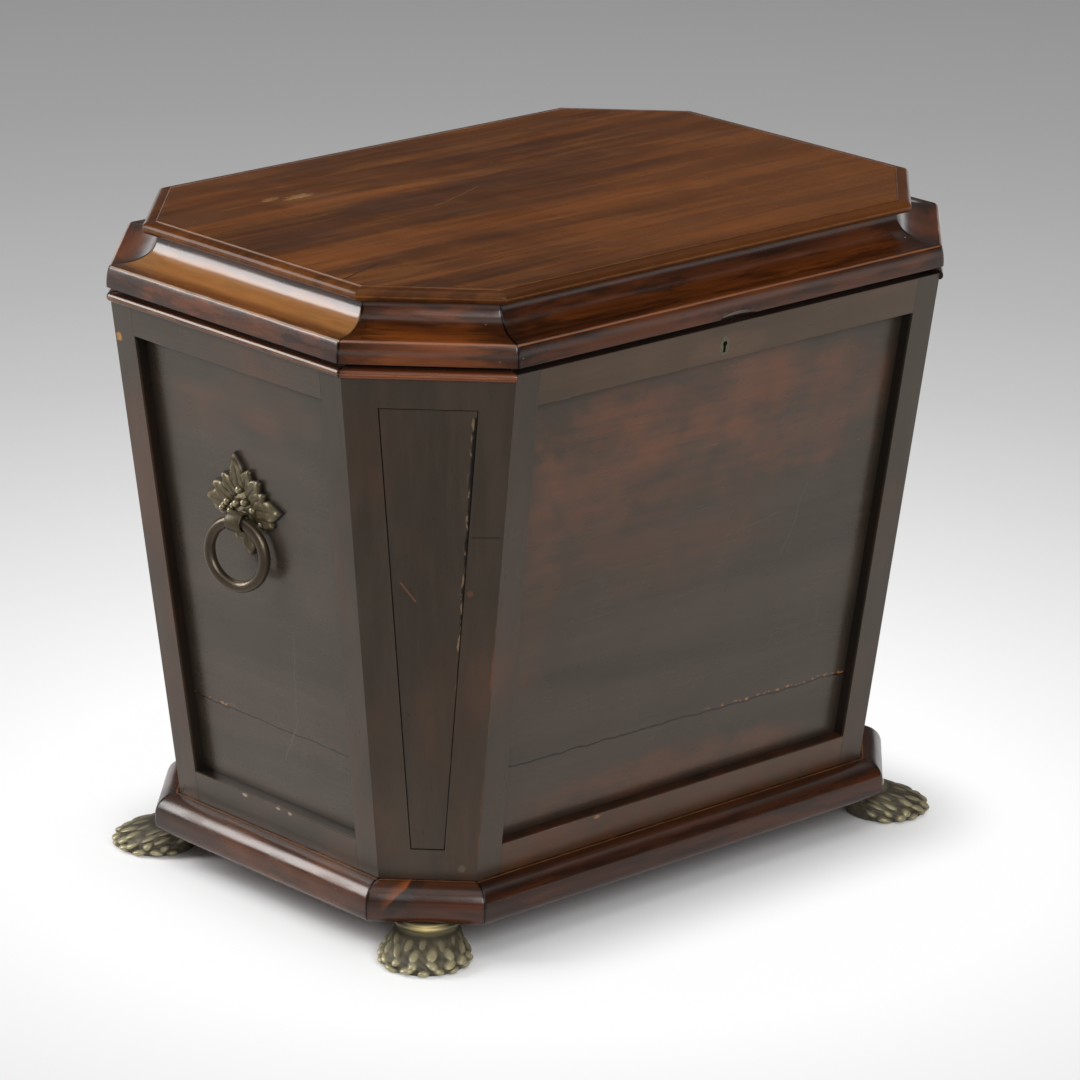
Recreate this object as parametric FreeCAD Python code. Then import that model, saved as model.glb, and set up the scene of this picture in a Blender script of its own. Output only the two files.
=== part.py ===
"""Cellarette: a tapering, canted-corner wine box with a hinged moulded lid, ring handles and paw feet.

Millimetres, +Z up. The origin is on the ground under the middle of the case. The keyhole side, the
front, faces -Y, and the handles are on the -X and +X ends.
"""
import FreeCAD, Part
import math
import os

from FreeCAD import Vector

# ------------------------------------------------------------------ overall sizes
LENGTH = 660.0              # lid, across the upper arris of its fascia
WIDTH = 476.0               # the same, front to back
FOOT_HEIGHT = 29.0
BASE_HEIGHT = 31.0
CASE_HEIGHT = 428.0         # leaning sides, from the base to the rim
SEAT_HEIGHT = 12.0          # rim to the face that the lid rests on
LID_HEIGHT = 52.0

# ------------------------------------------------------------------ plan shape
LID_CORNER = 96.7           # leg of the canted corner, lid
RIM_CORNER = 95.0           # the same at the rim of the case
PLINTH_CORNER = 55.0        # the same at the foot of the case
LID_OVERHANG = 2.0          # lid arris past the rim, each side
TAPER = 55.6                # how far each side leans in from rim to base

# ------------------------------------------------------------------ case walls
FRAME_THICK = 11.0          # stiles and rails, planted on the panels
PANEL_THICK = 11.0
STILE = 25.0
TOP_RAIL = 24.0
BOTTOM_RAIL = 26.0
FRONT_RISE = 6.0            # front top rail stands this far above the rim
CORNER_MARGIN = 27.0
INLAY_RECESS = 4.0
INLAY_THICK = 3.2
INLAY_GAP = 0.8
BOTTOM_THICK = 12.0

# ------------------------------------------------------------------ mouldings
BEAD_HEIGHT = 7.5
BEAD_PROUD = 3.7
BASE_PROUD = 20.3
BASE_WIDTH = 65.0           # base moulding, from its nose inwards
BASE_TOP_FLAT = 3.0
BASE_NOSE_LOW = 7.0         # underside to the lower end of the nose
BASE_NOSE_HIGH = 14.0
BASE_UNDERCUT = 5.0

# ------------------------------------------------------------------ lid
LID_RIM_WIDTH = 62.0        # moulding frame, from the arris inwards
FASCIA_HEIGHT = 16.8
FASCIA_FLARE = 1.9          # foot of the fascia, out from its arris
FASCIA_BELLY = 1.7          # the same half way up
ARRIS_STEP = 2.2
ARRIS_RISE = 1.4
COVE_DEPTH = 37.0
TOP_THICK = 11.0
TOP_EDGE = 36.4             # arris of the flat top, in from the fascia arris
QUIRK = 1.2                 # step down from the flat top to its rounded edge
TOP_NOSE = 25.9             # nose of that edge, in from the fascia arris
NOSE_FOOT = 1.6             # foot, nose and shoulder of the edge, above the board's underside
NOSE_LEVEL = 4.4
NOSE_SHOULDER = 7.4
NOSE_TUCK = 3.1             # foot of the edge, in from its nose
SHOULDER_SET = 1.2          # shoulder of the edge, in from its nose
CROWN_BULGE = 0.6           # rise of the arc between shoulder and quirk
SCOOP_LENGTH = 37.0
SCOOP_HEIGHT = 5.0
SCOOP_DEPTH = 4.5

# ------------------------------------------------------------------ liner and dividers
LINER_THICK = 2.0
LINER_HEIGHT = 380.0
DIVIDER_THICK = 8.0
DIVIDER_HEIGHT = 200.0
COLUMNS = 5
ROWS = 3
DIVIDER_GAP = 0.3
HALVING_CLEARANCE = 0.15

# ------------------------------------------------------------------ feet
ANKLE_INSET = 25.0          # ankle's axis, inside the middle of the base's canted nose
PAD_REACH = 30.0            # middle of the paw's pad, out from the ankle's axis
WAIST_REACH = 25.0          # the same at the waist
FOOT_HALF_WIDTH = 37.0
FOOT_HALF_LENGTH = 35.5
SOLE_INSET = 2.0            # edge of the sole inside the widest line of the paw
SWELL_LEVEL = 5.2           # widest line and waist of the paw, above the ground
WAIST_LEVEL = 13.0
ANKLE_RADIUS = 27.0
ANKLE_OVAL = 0.5            # how much wider than long the ankle is, each way
COLLAR_RADIUS = 28.0
COLLAR_HEIGHT = 8.0
COLLAR_FLAT = 0.8           # flat band between the collar's two rounds
FOOT_SCREW_REACH = 11.0     # out from the ankle's axis
FOOT_SCREW_RADIUS = 3.0
FOOT_SCREW_BITE = 22.0
FOOT_SCREW_DEPTH = 14.0     # sole to the sunk screw head

# ------------------------------------------------------------------ handles
HANDLE_HEIGHT = 332.4       # ring pivot above the ground
HANDLE_SIDE = 7.0           # handle axis, behind the middle of the end
RING_RADIUS = 27.1
WIRE_RADIUS = 4.9
RING_YAW = 14.0             # ring turned in its eye, degrees
RING_GAP = 3.8              # ring wire to backplate, at the pivot
EYE_WALL = 3.35             # metal round the eye's hole
EYE_THICK = 7.0
EYE_CLEARANCE = 0.45
POST_RADIUS = 3.5
PLATE_THICK = 3.0
PLATE_UP = 54.0             # leaf tip above the pivot
PLATE_DOWN = 29.0
PLATE_HALF_WIDTH = 47.0
LEAF_OUTLINE = [            # half of the leaf from its tip down, in shares of its three reaches
    (0.0, 1.0), (0.19, 0.66), (0.45, 0.62), (0.6, 0.36), (1.0, 0.3),
    (0.72, -0.1), (0.36, -0.22), (0.2, -0.62), (0.0, -1.0),
]
NUT_RADIUS = 7.5
NUT_THICK = 4.5

# ------------------------------------------------------------------ hinges
HINGE_LENGTH = 64.0
HINGE_SPREAD = 300.0        # between the two hinges' middles
LEAF_THICK = 2.0
LEAF_WIDTH = 25.0
KNUCKLE_RADIUS = 4.0
PIN_RADIUS = 2.0
RUNNING_CLEARANCE = 0.05
KNUCKLE_GAP = 0.3
HINGE_SETBACK = 1.1         # hinge axis behind the lid's widest line
KNUCKLE_ROOM = 0.5

# ------------------------------------------------------------------ lock
LOCK_LENGTH = 64.0
LOCK_HEIGHT = 32.0
SELVEDGE_LENGTH = 84.0      # the lock's top plate, let in flush
SELVEDGE_THICK = 2.0
LOCK_SCREW_SPREAD = 74.0
LINK_SCREW_SPREAD = 51.0
LOCK_DEPTH = 8.0
LOCK_WALL = 1.5
LOCK_FLOOR = 18.0           # underside of the bolt's chamber, below the seat
LOCK_CHAMBER_TOP = 3.0
LOCK_CHAMBER_LENGTH = 52.0
LOOP_SPREAD = 24.0
LOOP_THICK = 2.0
LOOP_WIDTH = 4.0
LOOP_DROP = 11.0
LOOP_EYE = 4.0
LOOP_EYE_DROP = 6.0         # lid joint to the middle of the eye
LOOP_EYE_WIDTH = 2.8
SLOT_CLEARANCE = 1.0
BOLT_THICK = 2.0
BOLT_BAR = 4.0
BOLT_FINGER = 3.0
BOLT_FINGER_LENGTH = 6.0
BOLT_POST = 3.0
BOLT_STANDOFF = 1.5         # finger tip to loop when the lock is open
BOLT_CLEARANCE = 0.2
KEY_SIDE = -9.0
KEY_HEIGHT = 477.7
KEY_RADIUS = 2.3
KEY_SLOT_WIDTH = 2.6
KEY_SLOT_DROP = 7.0
SCUTCHEON_HALF_WIDTH = 5.5
SCUTCHEON_HALF_HEIGHT = 8.0
SCUTCHEON_THICK = 2.5
SCUTCHEON_DROP = 1.75       # middle of the plate below the keyhole's round

# ------------------------------------------------------------------ screws
SCREW_HEAD = 3.2
SCREW_SHANK = 1.5
SCREW_LENGTH = 9.0
SCREW_FIT = 0.05
SCREW_SPREAD = 22.0         # between neighbouring screws of a hinge leaf
LEAF_SCREW_INSET = 6.5      # screw line from the leaf's free edge

# ------------------------------------------------------------------ levels
BASE_Z = FOOT_HEIGHT
CASE_Z = BASE_Z + BASE_HEIGHT
RIM_Z = CASE_Z + CASE_HEIGHT
SEAT_Z = RIM_Z + SEAT_HEIGHT
TOP_Z = SEAT_Z + LID_HEIGHT
FLOOR_Z = CASE_Z + BOTTOM_THICK

WALL = FRAME_THICK + PANEL_THICK
LINED = WALL + LINER_THICK
FAR = 400.0                 # longer than half of any side, for cutting tools

FRONT, FRONT_RIGHT, RIGHT, BACK_RIGHT, BACK, BACK_LEFT, LEFT, FRONT_LEFT = range(8)
SIDE_NAMES = ["front", "front_right", "right", "back_right", "back", "back_left", "left", "front_left"]
LONG_SIDES = [FRONT, RIGHT, BACK, LEFT]
CORNERS = [FRONT_RIGHT, BACK_RIGHT, BACK_LEFT, FRONT_LEFT]
TURN = math.pi / 4


# ------------------------------------------------------------------ plan geometry
def normal(side):
    """Outward level direction of a side; the sides run counter-clockwise from the front."""
    angle = side * TURN - math.pi / 2
    return Vector(math.cos(angle), math.sin(angle), 0)


def run(side):
    """Level direction along a side, to the right as seen from outside."""
    outward = normal(side)
    return Vector(-outward.y, outward.x, 0)


def octagon(length, width, corner):
    """Distances of the eight sides from the centre, for canted corners with the given leg."""
    a, b = length / 2, width / 2
    c = (a + b - corner) / math.sqrt(2)
    return [b, c, a, c, b, c, a, c]


LID = octagon(LENGTH, WIDTH, LID_CORNER)
RIM = octagon(LENGTH - 2 * LID_OVERHANG, WIDTH - 2 * LID_OVERHANG, RIM_CORNER)
PLINTH = octagon(
    LENGTH - 2 * LID_OVERHANG - 2 * TAPER, WIDTH - 2 * LID_OVERHANG - 2 * TAPER, PLINTH_CORNER
)


def meet(distances, side, end):
    """Coordinate along a side where it meets its neighbour at end -1 (left) or +1 (right)."""
    own = distances[side]
    other = distances[(side + end) % 8]
    return end * (other - own * math.cos(TURN)) / math.sin(TURN)


def plan_point(distances, side, end, z):
    return normal(side) * distances[side] + run(side) * meet(distances, side, end) + Vector(0, 0, z)


# ------------------------------------------------------------------ leaning walls
def lean(side):
    """Angle by which a wall overhangs its foot."""
    return math.atan((RIM[side] - PLINTH[side]) / CASE_HEIGHT)


def wall_distances(z, depth):
    """Level distances of the eight walls at height z, a depth behind their outer faces."""
    share = (z - CASE_Z) / CASE_HEIGHT
    return [
        PLINTH[side] + share * (RIM[side] - PLINTH[side]) - depth / math.cos(lean(side))
        for side in range(8)
    ]


def mitre_point(side, end, z, depth):
    """Where two neighbouring walls meet, at one height and depth."""
    return plan_point(wall_distances(z, depth), side, end, z)


def edge_along(side, end, face_z, margin):
    """Coordinate along a wall's face of a line that runs inside its corner by a level margin."""
    return meet(wall_distances(face_z, 0), side, end) - end * margin


def square_point(side, end, face_z, depth, margin):
    """A point of the face at face_z and a margin from a corner, moved square into the wall."""
    angle = lean(side)
    face = wall_distances(face_z, 0)[side]
    level = normal(side) * (face - depth * math.cos(angle))
    along = run(side) * edge_along(side, end, face_z, margin)
    return level + along + Vector(0, 0, face_z + depth * math.sin(angle))


def level_point(side, end, z, depth, margin):
    """The point of the same square cut that lies at height z."""
    return square_point(side, end, z - depth * math.sin(lean(side)), depth, margin)


def face_frame(side, along, z, depth):
    """A point of a wall at a depth, and the wall's inward direction."""
    angle = lean(side)
    face = wall_distances(z, 0)[side]
    inward = normal(side) * -math.cos(angle) + Vector(0, 0, math.sin(angle))
    return normal(side) * face + run(side) * along + Vector(0, 0, z) + inward * depth, inward


# ------------------------------------------------------------------ solids
def block(lower, upper):
    """Flat-sided solid between two polygons with as many corners."""
    count = len(lower)
    rings = [lower, upper]
    for k in range(count):
        after = (k + 1) % count
        rings.append([lower[k], lower[after], upper[after], upper[k]])
    faces = [Part.Face(Part.makePolygon(ring + ring[:1])) for ring in rings]
    solid = Part.makeSolid(Part.makeShell(faces))
    return solid if solid.Volume > 0 else solid.reversed()


def box(low, high):
    size = high - low
    return Part.makeBox(size.x, size.y, size.z, low)


def rod(start, direction, radius, length):
    return Part.makeCylinder(radius, length, start, direction)


def profile_face(side, distance, edges):
    """Face of a moulding's section: edges are polylines or arcs of (offset, height) pairs."""
    def place(pair):
        return normal(side) * (distance + pair[0]) + Vector(0, 0, pair[1])

    shapes = []
    for kind, pairs in edges:
        points = [place(pair) for pair in pairs]
        if kind == "line":
            shapes += [Part.makeLine(a, b) for a, b in zip(points, points[1:])]
        elif kind == "arc":
            shapes.append(Part.Arc(*points).toShape())
        else:
            curve = Part.BezierCurve()
            curve.setPoles(points)
            shapes.append(curve.toShape())
    return Part.Face(Part.Wire(shapes))


def mitred_length(distances, side, edges, inner, outer, low, high):
    """A section carried along one side and mitred to its neighbours."""
    face = profile_face(side, distances[side], edges)
    face.translate(run(side) * -FAR)
    bar = face.extrude(run(side) * 2 * FAR)
    inside = [distance + inner for distance in distances]
    outside = [distance + outer for distance in distances]
    plan = [
        plan_point(inside, side, -1, 0), plan_point(outside, side, -1, 0),
        plan_point(outside, side, 1, 0), plan_point(inside, side, 1, 0),
    ]
    wedge = block([p + Vector(0, 0, low) for p in plan], [p + Vector(0, 0, high) for p in plan])
    return bar.common(wedge)


def screw(head, direction, clearance=0.0):
    """Countersunk screw whose flat head lies at a point and which points in a direction."""
    cone = Part.makeCone(
        SCREW_HEAD + clearance, SCREW_SHANK + clearance, SCREW_HEAD - SCREW_SHANK, head, direction
    )
    return cone.fuse(rod(head, direction, SCREW_SHANK + clearance, SCREW_LENGTH + clearance))


def cut_all(shape, tools):
    for tool in tools:
        shape = shape.cut(tool)
    return shape


# ------------------------------------------------------------------ case
def wall_board(side, outer, inner, low, high):
    """Board between two depths of a wall, mitred to its neighbours."""
    rings = []
    for z in (low, high):
        rings.append([
            mitre_point(side, -1, z, outer), mitre_point(side, 1, z, outer),
            mitre_point(side, 1, z, inner), mitre_point(side, -1, z, inner),
        ])
    return block(*rings)


def stile(side, end):
    high = RIM_Z + (FRONT_RISE if side == FRONT else 0)
    rings = []
    for z in (CASE_Z, high):
        rings.append([
            mitre_point(side, end, z, 0), level_point(side, end, z, 0, STILE),
            level_point(side, end, z, FRAME_THICK, STILE), mitre_point(side, end, z, FRAME_THICK),
        ])
    return block(*rings)


def rail_ring(side, z, cut):
    """Section of a rail between its stiles: cut level at z, or square to the wall from z."""
    point = level_point if cut == "level" else square_point
    return [
        point(side, -1, z, 0, STILE), point(side, 1, z, 0, STILE),
        point(side, 1, z, FRAME_THICK, STILE), point(side, -1, z, FRAME_THICK, STILE),
    ]


def bottom_rail(side):
    return block(rail_ring(side, CASE_Z, "level"), rail_ring(side, CASE_Z + BOTTOM_RAIL, "square"))


def top_rail(side):
    high = RIM_Z + (FRONT_RISE if side == FRONT else 0)
    return block(rail_ring(side, RIM_Z - TOP_RAIL, "square"), rail_ring(side, high, "level"))


def inlay_block(side, margin_extra, outer, inner):
    """Tapering block let into a canted corner, between two depths."""
    low = CASE_Z + BOTTOM_RAIL + margin_extra
    high = RIM_Z - TOP_RAIL - margin_extra
    margin = CORNER_MARGIN + margin_extra
    rings = []
    for depth in (outer, inner):
        rings.append([
            square_point(side, -1, low, depth, margin), square_point(side, 1, low, depth, margin),
            square_point(side, 1, high, depth, margin), square_point(side, -1, high, depth, margin),
        ])
    return block(*rings)


def corner_board(side):
    board = wall_board(side, 0, WALL, CASE_Z, RIM_Z)
    seat = wall_board(side, FRAME_THICK, WALL, RIM_Z, SEAT_Z)
    return board.fuse(seat).cut(inlay_block(side, 0, -1, INLAY_RECESS)).removeSplitter()


def corner_inlay(side):
    return inlay_block(side, INLAY_GAP, INLAY_RECESS - INLAY_THICK, INLAY_RECESS)


def inner_slab(depth, low, high):
    """Octagonal board that fills the case inside a depth, with edges that follow the walls."""
    rings = []
    for z in (low, high):
        distances = wall_distances(z, depth)
        rings.append([plan_point(distances, side, 1, z) for side in range(8)])
    return block(*rings)


def bead_length(side):
    """Half-round bead that stands on the rim, against the lid seat."""
    slope = math.tan(lean(side))
    back = -FRAME_THICK / math.cos(lean(side))
    low, high = RIM_Z, RIM_Z + BEAD_HEIGHT
    edges = [
        ("line", [(0, high), (back + BEAD_HEIGHT * slope, high), (back, low), (0, low)]),
        ("arc", [(0, low), (BEAD_PROUD, (low + high) / 2), (0, high)]),
    ]
    return mitred_length(RIM, side, edges, -2 * FRAME_THICK, 2 * BEAD_PROUD, low, high)


def base_length(side):
    """Base moulding: quarter-round above a short nose, tucked in below."""
    nose_low = BASE_Z + BASE_NOSE_LOW
    nose_high = BASE_Z + BASE_NOSE_HIGH
    back = BASE_PROUD - BASE_WIDTH
    foot = BASE_PROUD - BASE_UNDERCUT
    reach = BASE_PROUD - BASE_TOP_FLAT
    rise = CASE_Z - nose_high
    bulge = math.sqrt(0.5)
    edges = [
        ("line", [(BASE_TOP_FLAT, CASE_Z), (back, CASE_Z), (back, BASE_Z), (foot, BASE_Z)]),
        ("arc", [
            (foot, BASE_Z), (foot + BASE_UNDERCUT * bulge, nose_low - BASE_NOSE_LOW * bulge),
            (BASE_PROUD, nose_low),
        ]),
        ("line", [(BASE_PROUD, nose_low), (BASE_PROUD, nose_high)]),
        ("arc", [
            (BASE_PROUD, nose_high), (BASE_TOP_FLAT + reach * bulge, nose_high + rise * bulge),
            (BASE_TOP_FLAT, CASE_Z),
        ]),
    ]
    return mitred_length(PLINTH, side, edges, back - 1, BASE_PROUD + 1, BASE_Z, CASE_Z)


# ------------------------------------------------------------------ liner and dividers
def liner_wall(side):
    return wall_board(side, WALL, LINED, FLOOR_Z, FLOOR_Z + LINER_HEIGHT)


def cell_lines(count, half):
    """Middles of the boards that split a span of +-half into equal cells."""
    pitch = 2 * half / count
    return [-half + pitch * (k + 1) for k in range(count - 1)]


DIVIDER_Z = FLOOR_Z + LINER_THICK
CELL_REACH = wall_distances(DIVIDER_Z, LINED)
COLUMN_LINES = cell_lines(COLUMNS, CELL_REACH[RIGHT])
ROW_LINES = cell_lines(ROWS, CELL_REACH[BACK])


def divider(side, offset, crossings, slot_low, slot_high):
    """Board that runs from the middle towards a side and its opposite, halved at its crossings."""
    along = normal(side)
    across = Vector(abs(along.y), abs(along.x), 0)
    half = across * (DIVIDER_THICK / 2)
    rings = []
    for z in (DIVIDER_Z, DIVIDER_Z + DIVIDER_HEIGHT):
        reach = along * (wall_distances(z, LINED)[side] - DIVIDER_GAP)
        centre = across * offset + Vector(0, 0, z)
        rings.append([
            centre - reach - half, centre + reach - half,
            centre + reach + half, centre - reach + half,
        ])
    board = block(*rings)
    size = along * (DIVIDER_THICK / 2 + HALVING_CLEARANCE) + across * DIVIDER_THICK
    for line in crossings:
        middle = along * line + across * offset
        low, high = middle - size + Vector(0, 0, slot_low), middle + size + Vector(0, 0, slot_high)
        board = board.cut(box(low, high))
    return board


def long_divider(offset):
    middle = DIVIDER_Z + DIVIDER_HEIGHT / 2
    return divider(RIGHT, offset, COLUMN_LINES, middle - HALVING_CLEARANCE, middle + DIVIDER_HEIGHT)


def cross_divider(offset):
    middle = DIVIDER_Z + DIVIDER_HEIGHT / 2
    return divider(BACK, offset, ROW_LINES, middle - DIVIDER_HEIGHT, middle + HALVING_CLEARANCE)


# ------------------------------------------------------------------ feet
def foot_axis(side, reach=0.0):
    """On the ground, on the ankle's axis or further out towards the toes."""
    nose = [distance + BASE_PROUD for distance in PLINTH]
    ends = plan_point(nose, side, -1, 0) + plan_point(nose, side, 1, 0)
    return ends * 0.5 + normal(side) * (reach - ANKLE_INSET)


def foot_oval(side, reach, z, half_width, half_length):
    """Level oval, wide across the direction of its corner."""
    centre = foot_axis(side, reach) + Vector(0, 0, z)
    oval = Part.Ellipse(
        centre + run(side) * half_width, centre + normal(side) * half_length, centre
    )
    return Part.Wire(oval.toShape())


def paw_foot(side):
    """Cast paw: pad standing out below the ankle, collar, and a well in the sole for the screw."""
    wide, long, slim = FOOT_HALF_WIDTH, FOOT_HALF_LENGTH, ANKLE_RADIUS
    collar_z = FOOT_HEIGHT - COLLAR_HEIGHT
    pad = [
        foot_oval(side, PAD_REACH, 0, wide - SOLE_INSET, long - SOLE_INSET),
        foot_oval(side, PAD_REACH, SWELL_LEVEL, wide, long),
        foot_oval(side, WAIST_REACH, WAIST_LEVEL, (wide + slim) / 2, (long + slim) / 2),
        foot_oval(side, 0, collar_z + COLLAR_HEIGHT / 2, slim + ANKLE_OVAL, slim),
    ]
    paw = Part.makeLoft(pad, True)
    up = Vector(0, 0, 1)
    collar = rod(foot_axis(side) + up * collar_z, up, COLLAR_RADIUS, COLLAR_HEIGHT)
    rounded = collar.makeFillet((COLLAR_HEIGHT - COLLAR_FLAT) / 2, collar.Edges)
    screw_foot = foot_axis(side, FOOT_SCREW_REACH)
    well = rod(screw_foot, up, 2 * FOOT_SCREW_RADIUS + SCREW_FIT, FOOT_SCREW_DEPTH)
    return paw.fuse(rounded).cut(foot_screw(side, SCREW_FIT)).cut(well)


def foot_screw(side, clearance=0.0):
    """Screw from the sole up into the base moulding; its head is sunk in the paw."""
    start = foot_axis(side, FOOT_SCREW_REACH) + Vector(0, 0, FOOT_SCREW_DEPTH)
    shank = rod(start, Vector(0, 0, 1), FOOT_SCREW_RADIUS + clearance,
                FOOT_HEIGHT - FOOT_SCREW_DEPTH + FOOT_SCREW_BITE + clearance)
    head = rod(start, Vector(0, 0, 1), 2 * FOOT_SCREW_RADIUS + clearance, FOOT_SCREW_RADIUS)
    return shank.fuse(head)


# ------------------------------------------------------------------ handles
EYE_HOLE = WIRE_RADIUS + EYE_CLEARANCE
PIVOT_DEPTH = FRAME_THICK - PLATE_THICK - RING_GAP - WIRE_RADIUS


def pivot_point(side):
    """Middle of the eye, and the wall's inward direction there."""
    along = HANDLE_SIDE * (1 if run(side).y > 0 else -1)
    return face_frame(side, along, HANDLE_HEIGHT, PIVOT_DEPTH)


def ring_axis(side):
    """The ring turns about this level line, which lies askew to the wall by the yaw."""
    yaw = math.radians(RING_YAW)
    mirror = -1 if side == LEFT else 1
    return Vector(mirror * math.sin(yaw), math.cos(yaw), 0)


def handle_ring(side):
    pivot, _ = pivot_point(side)
    hub = pivot - Vector(0, 0, RING_RADIUS)
    facing = ring_axis(side).cross(Vector(0, 0, 1))
    return Part.makeTorus(RING_RADIUS, WIRE_RADIUS, hub, facing)


def handle_post(side):
    """Eye bolt: a flat eye for the ring, on a post that passes through the plate and the wall."""
    pivot, inward = pivot_point(side)
    axis = ring_axis(side)
    eye = rod(pivot - axis * (EYE_THICK / 2), axis, EYE_HOLE + EYE_WALL, EYE_THICK)
    post = rod(pivot, inward, POST_RADIUS, WALL - PIVOT_DEPTH)
    hole = rod(pivot - axis * EYE_THICK, axis, EYE_HOLE, 2 * EYE_THICK)
    return eye.fuse(post).cut(hole)


def post_hole(side):
    pivot, inward = pivot_point(side)
    return rod(pivot, inward, POST_RADIUS + SCREW_FIT, WALL - PIVOT_DEPTH + 1)


def handle_nut(side, clearance=0.0):
    pivot, inward = pivot_point(side)
    start = pivot + inward * (WALL - PIVOT_DEPTH - NUT_THICK - clearance)
    return rod(start, inward, NUT_RADIUS + clearance, NUT_THICK + 2 * clearance)


def handle_plate(side):
    """Leaf-shaped backplate against the recessed panel."""
    pivot, inward = pivot_point(side)
    across = run(side)
    up = across.cross(inward * -1)
    if up.z < 0:
        up = up * -1
    half = [
        (u * PLATE_HALF_WIDTH, v * (PLATE_UP if v > 0 else PLATE_DOWN)) for u, v in LEAF_OUTLINE
    ]
    outline = half + [(-u, v) for u, v in reversed(half[1:-1])]
    back = pivot + inward * (FRAME_THICK - PIVOT_DEPTH)
    points = [back + across * u + up * v for u, v in outline]
    face = Part.Face(Part.makePolygon(points + points[:1]))
    return face.extrude(inward * -PLATE_THICK).cut(post_hole(side))


# ------------------------------------------------------------------ hinges
HINGE_Y = WIDTH / 2 + FASCIA_FLARE + HINGE_SETBACK
HINGE_MIDDLES = [-HINGE_SPREAD / 2, HINGE_SPREAD / 2]
LEAF_Y = HINGE_Y - LEAF_WIDTH


def barrel(middle, start, end, radius):
    """Cylinder on the hinge axis, between two shares of the hinge's length."""
    low = middle - HINGE_LENGTH / 2 + start * HINGE_LENGTH
    high = middle - HINGE_LENGTH / 2 + end * HINGE_LENGTH
    return rod(Vector(low, HINGE_Y, SEAT_Z), Vector(1, 0, 0), radius, high - low)


def leaf_plate(middle, above):
    """Flat of a hinge leaf, just under or just over the lid joint."""
    low_z = SEAT_Z if above else SEAT_Z - LEAF_THICK
    low = Vector(middle - HINGE_LENGTH / 2, LEAF_Y, low_z)
    high = Vector(middle + HINGE_LENGTH / 2, HINGE_Y, low_z + LEAF_THICK)
    return box(low, high)


def leaf_screws(middle, above, clearance=0.0):
    direction = Vector(0, 0, 1 if above else -1)
    y = LEAF_Y + LEAF_SCREW_INSET
    return [
        screw(Vector(middle + k * SCREW_SPREAD, y, SEAT_Z), direction, clearance) for k in (-1, 0, 1)
    ]


def hinge_leaf(middle, above):
    """Leaf with its knuckles: the lid leaf has the middle one, the case leaf the outer two."""
    gap = KNUCKLE_GAP / HINGE_LENGTH
    outer = [(0, 1 / 3), (2 / 3, 1)]
    inner = [(1 / 3 + gap, 2 / 3 - gap)]
    own, other = (inner, outer) if above else (outer, inner)
    leaf = leaf_plate(middle, above)
    for start, end in other:
        leaf = leaf.cut(barrel(middle, start - gap, end + gap, KNUCKLE_RADIUS + KNUCKLE_GAP))
    for start, end in own:
        leaf = leaf.fuse(barrel(middle, start, end, KNUCKLE_RADIUS))
    leaf = leaf.cut(barrel(middle, -1, 2, PIN_RADIUS + RUNNING_CLEARANCE))
    return cut_all(leaf, leaf_screws(middle, above, SCREW_FIT)).removeSplitter()


def hinge_pin(middle):
    return barrel(middle, 0, 1, PIN_RADIUS)


def knuckle_room(middle):
    gap = KNUCKLE_ROOM / HINGE_LENGTH
    return barrel(middle, -gap, 1 + gap, KNUCKLE_RADIUS + KNUCKLE_ROOM)


# ------------------------------------------------------------------ lock
LOCK_BACK = -wall_distances(SEAT_Z, WALL)[FRONT]
LOCK_FRONT = LOCK_BACK - LOCK_DEPTH
LOCK_MIDDLE = (LOCK_BACK + LOCK_FRONT) / 2
FINGER_Z = SEAT_Z - LOOP_EYE_DROP
LOOP_MIDDLES = [-LOOP_SPREAD / 2, LOOP_SPREAD / 2]


def lock_body(back):
    """Upright case below a longer top plate, from the lock's front to a given back."""
    low = Vector(-LOCK_LENGTH / 2, LOCK_FRONT, SEAT_Z - LOCK_HEIGHT)
    case = box(low, Vector(LOCK_LENGTH / 2, back, SEAT_Z))
    low = Vector(-SELVEDGE_LENGTH / 2, LOCK_FRONT, SEAT_Z - SELVEDGE_THICK)
    return case.fuse(box(low, Vector(SELVEDGE_LENGTH / 2, back, SEAT_Z)))


def loop_x(middle, extra=0.0):
    return middle - LOOP_THICK / 2 - extra, middle + LOOP_THICK / 2 + extra


def keyhole(start_depth, end_depth):
    """Round hole with a slot below it, square through the front wall between two depths."""
    start, inward = face_frame(FRONT, KEY_SIDE, KEY_HEIGHT, start_depth)
    pin = rod(start, inward, KEY_RADIUS, end_depth - start_depth)
    low = start + Vector(-KEY_SLOT_WIDTH / 2, 0, -KEY_SLOT_DROP)
    slot = Part.makeBox(KEY_SLOT_WIDTH, end_depth - start_depth, KEY_SLOT_DROP, low)
    return pin.fuse(slot)


def lock_case():
    case = lock_body(LOCK_BACK)
    chamber_z = SEAT_Z - LOCK_FLOOR
    chamber = box(
        Vector(-LOCK_CHAMBER_LENGTH / 2, LOCK_FRONT + LOCK_WALL, chamber_z),
        Vector(LOCK_CHAMBER_LENGTH / 2, LOCK_BACK - LOCK_WALL, SEAT_Z - LOCK_CHAMBER_TOP),
    )
    case = case.cut(chamber)
    for middle in LOOP_MIDDLES:
        low_x, high_x = loop_x(middle, SLOT_CLEARANCE)
        slot = box(
            Vector(low_x, LOCK_FRONT + LOCK_WALL, SEAT_Z - LOCK_FLOOR),
            Vector(high_x, LOCK_BACK - LOCK_WALL, SEAT_Z + 1),
        )
        case = case.cut(slot)
    case = case.cut(keyhole(0, FRAME_THICK + LOCK_WALL + LOCK_DEPTH / 2))
    return cut_all(case, lock_screws(SCREW_FIT))


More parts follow.
